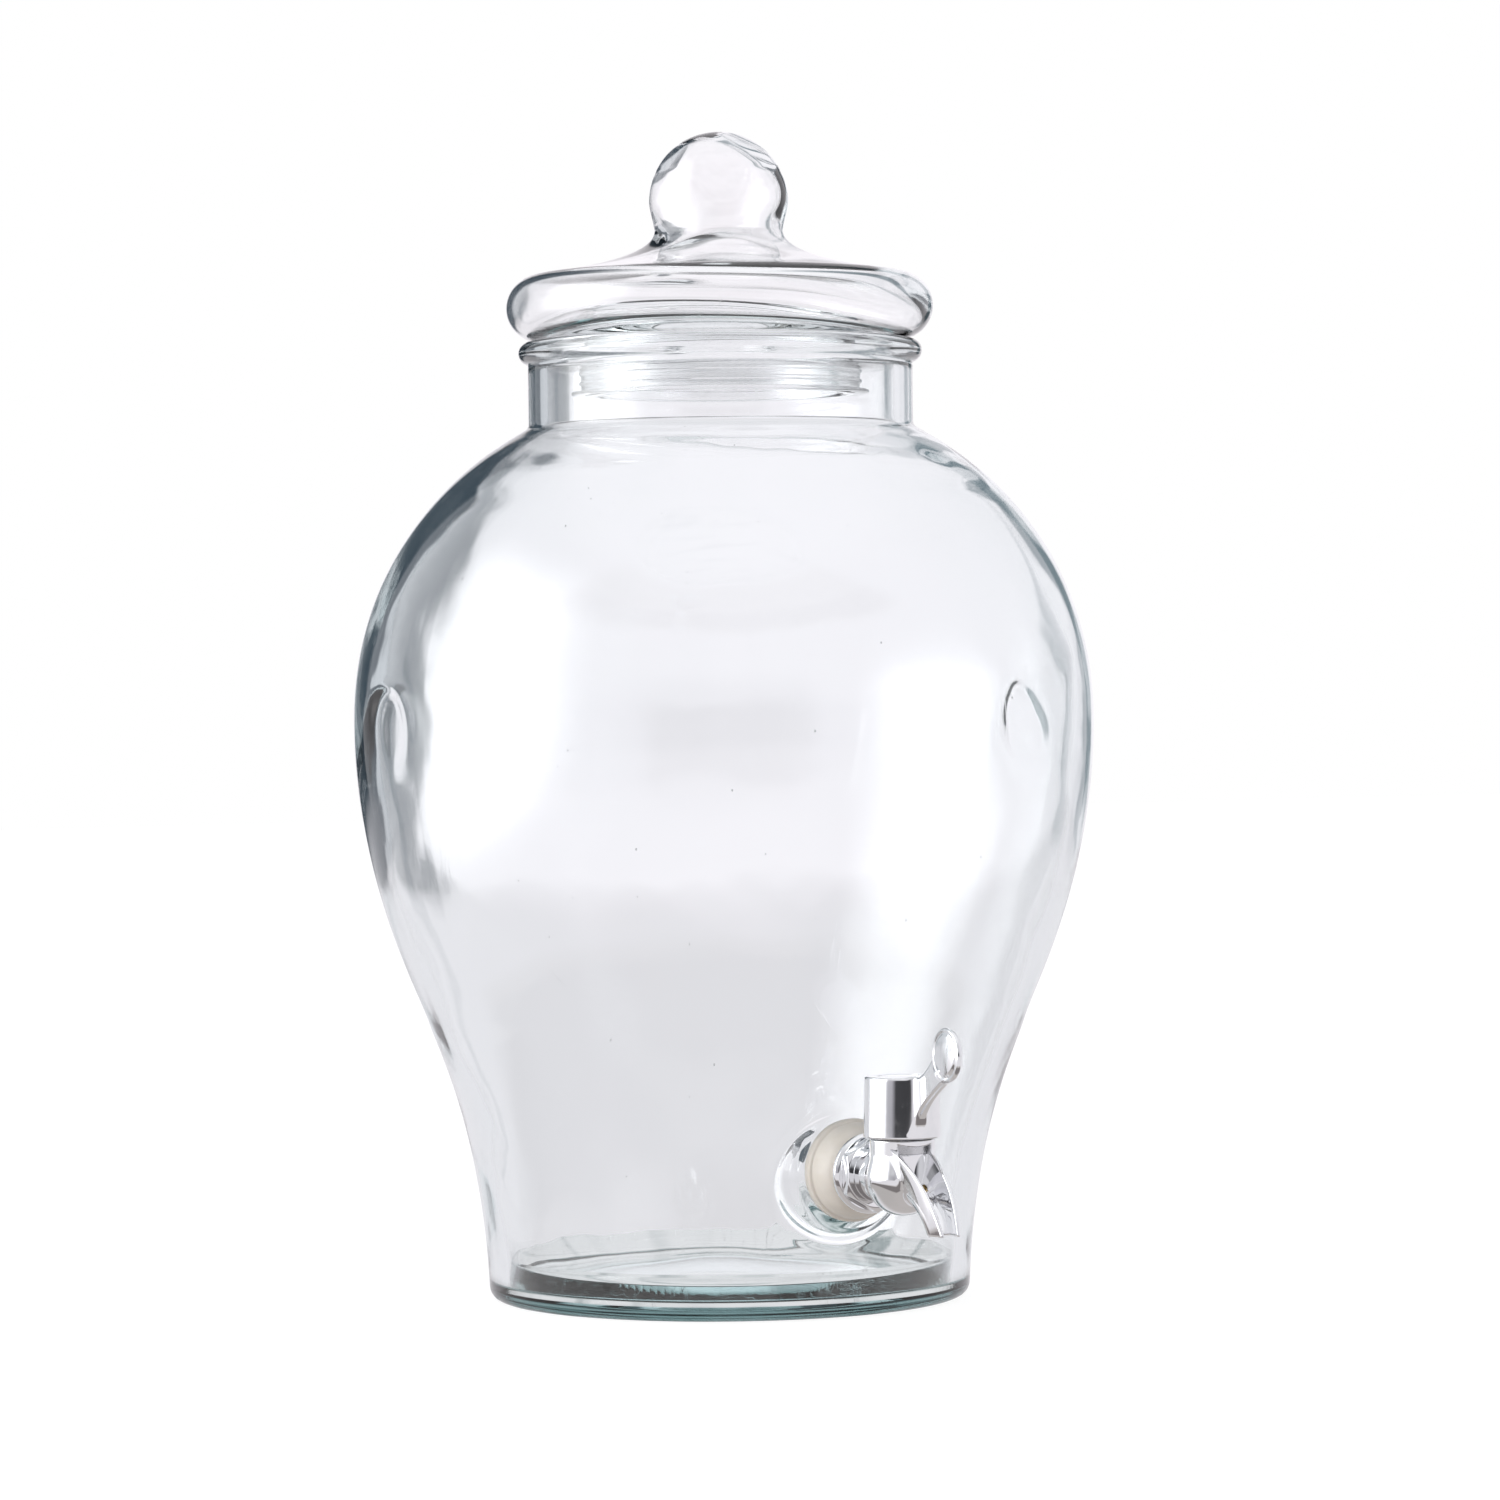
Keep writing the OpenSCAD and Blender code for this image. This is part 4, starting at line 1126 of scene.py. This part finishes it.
def room(n, direction, up=None, inner_edge=0.0):
    """Colour of the studio in a direction, how much of the soft box on the left is there,
    and the direction in degrees. up limits the box to its height. inner_edge is how far to
    the side a place on the table lies before its direction counts."""
    side = n.dot(direction, to_right)
    if inner_edge:
        past = n.math("MAXIMUM", n.math("SUBTRACT", n.math("ABSOLUTE", side), inner_edge), 0.0)
        side = n.times(n.math("SIGN", side), past)
    ahead = n.dot(direction, toward)
    turn = n.times(n.math("ARCTAN2", side, ahead), 180 / math.pi)
    place = n.math("DIVIDE", n.plus(turn, 180.0), 360.0)
    colour = n.ramp(place, [((a + 180) / 360, c) for a, c in ROOM])
    box = n.window(turn, -88.0, -74.0, 32.0)
    if up is not None:
        box = n.times(box, n.window(up, -8.0, 26.0, 24.0))
    return colour, box, turn


def floor_material():
    """White for the camera, a studio's table for light that passes through the glass, with
    painted light and painted shadows on it.
    """
    m, n, where = material("studio_floor")
    tone = n.smooth(n.noise(where, 3.0, 3.0), 0.3, 0.7, 0.90, 0.95)
    pale = n.add("BsdfDiffuse", {"Color": n.mix(1.0, (0, 0, 0), tone)})
    share = n.add("MixShader", {0: 0.18, 1: n.glow(WHITE_LIGHT, 0.97), 2: pale})
    shown = n.add("AddShader", {0: share, 1: n.glow(WHITE_LIGHT, 0.12)})
    distance = n.add("VectorMath", {0: where}, output=1, operation="LENGTH")
    colour, box, turn = room(n, where, inner_edge=0.085)
    dull = n.add("Mix", output=None, data_type="RGBA", blend_type="MULTIPLY")
    n.tree.links.new(colour, dull.inputs[6])
    n.tree.links.new(n.smooth(distance, 1.0, 6.0, 0.80, 1.0), dull.inputs[7])
    dull.inputs[0].default_value = 1.0
    # In front of the jar: painted shadow under the tap, warm grey-brown, with a dark line in it
    front = n.window(turn, -80.0, 80.0, 20.0)
    tap_shadow = n.times(front, n.window(distance, 0.125, 0.28, 0.03))
    near = n.mix(tap_shadow, (0.83, 0.81, 0.845), (0.52, 0.49, 0.48))
    line = n.times(front, n.window(distance, 0.205, 0.265, 0.012))
    near = n.mix(line, near, (0.22, 0.20, 0.20))
    table = n.mix(n.smooth(distance, 1.6, 3.2), near, dull.outputs[2])
    # Painted light: the soft box's pool of light on the table to its side
    lit_by_box = n.times(box, n.smooth(distance, 0.28, 1.7))
    table = n.mix(lit_by_box, table, SOFT_BOX)
    # Under the jar: painted shadow broken by streaks across, and uneven painted shade along the
    # jar's edge on the camera's side
    ahead = n.dot(where, toward)
    across = n.add("CombineXYZ", {
        0: n.times(n.dot(where, to_right), 11.0), 1: n.times(ahead, 62.0),
    })
    streak = n.smooth(n.noise(across, 1.0, 3.0), 0.52, 0.66)
    under = n.mix(streak, (0.80, 0.79, 0.81), (0.26, 0.31, 0.32))
    table = n.mix(n.smooth(distance, 0.086, 0.096), under, table)
    edge = n.times(n.window(distance, 0.0855, 0.093, 0.003), n.smooth(ahead, 0.02, 0.05))
    uneven_edge_shade = n.smooth(n.noise(where, 22.0), 0.42, 0.60, 0.25, 0.9)
    table = n.mix(n.times(edge, uneven_edge_shade), table, (0.42, 0.47, 0.47))
    seen = n.add("LightPath")
    both = n.add("MixShader", {0: seen, 1: n.glow(table, 1.0), 2: shown})
    n.add("OutputMaterial", {"Surface": both}, output=None)
    return m


corners = np.array([
    (x * FLOOR_HALF, y * FLOOR_HALF, FLOOR_LEVEL) for x, y in ((-1, -1), (1, -1), (1, 1), (-1, 1))
]) / MM
ground = linked("studio_floor", mesh_data("studio_floor", corners, [np.arange(4)[None]]))
ground.data.materials.append(floor_material())


def studio():
    """A white room with a large soft box on the left, a dark side behind the camera and a
    dark panel behind on the left."""
    world = bpy.data.worlds.new("studio")
    world.use_nodes = True
    n = Nodes(world.node_tree)
    way = n.add("TexCoord", output=0)
    up = n.times(n.math("ARCSINE", n.dot(way, (0, 0, 1))), 180 / math.pi)
    colour, box, turn = room(n, way, up)
    front = n.window(turn, -30.0, 30.0, 25.0)
    colour = n.mix(n.times(n.smooth(up, 6.0, 18.0), front), colour, DARK_SIDE_TOP)
    colour = n.mix(box, colour, SOFT_BOX)
    colour = n.mix(n.smooth(up, 38.0, 62.0), colour, OVERHEAD)
    light = n.add("Background", {"Color": colour, "Strength": 1.0})
    white = n.add("Background", {"Color": WHITE_LIGHT, "Strength": 1.0})
    seen = n.add("LightPath")
    both = n.add("MixShader", {0: seen, 1: light, 2: white})
    n.add("OutputWorld", {"Surface": both}, output=None)
    bpy.context.scene.world = world


studio()

camera = linked("camera", bpy.data.cameras.new("camera"))
bpy.context.scene.camera = camera
camera.data.sensor_width, camera.data.lens, camera.data.clip_end = 36.0, 132.6, 50.0
YAW, PITCH_DOWN, ROLL = math.radians(0.267), math.radians(0.92), math.radians(0.6)
forward = (-toward * math.cos(YAW) + to_right * math.sin(YAW)) * math.cos(PITCH_DOWN)
forward.z = -math.sin(PITCH_DOWN)
forward.normalize()
level = forward.cross(Vector((0, 0, 1))).normalized()
upright = level.cross(forward)
right = level * math.cos(ROLL) - upright * math.sin(ROLL)
top = upright * math.cos(ROLL) + level * math.sin(ROLL)
spot = toward * CAMERA_REACH + Vector((0, 0, CAMERA_HEIGHT))
axes = zip(right, top, -forward, spot)
camera.matrix_world = Matrix((*axes, (0, 0, 0, 1)))

scene = bpy.context.scene
scene.view_settings.view_transform = "Standard"
scene.cycles.max_bounces = 24
scene.cycles.transmission_bounces = 24
scene.cycles.glossy_bounces = 8
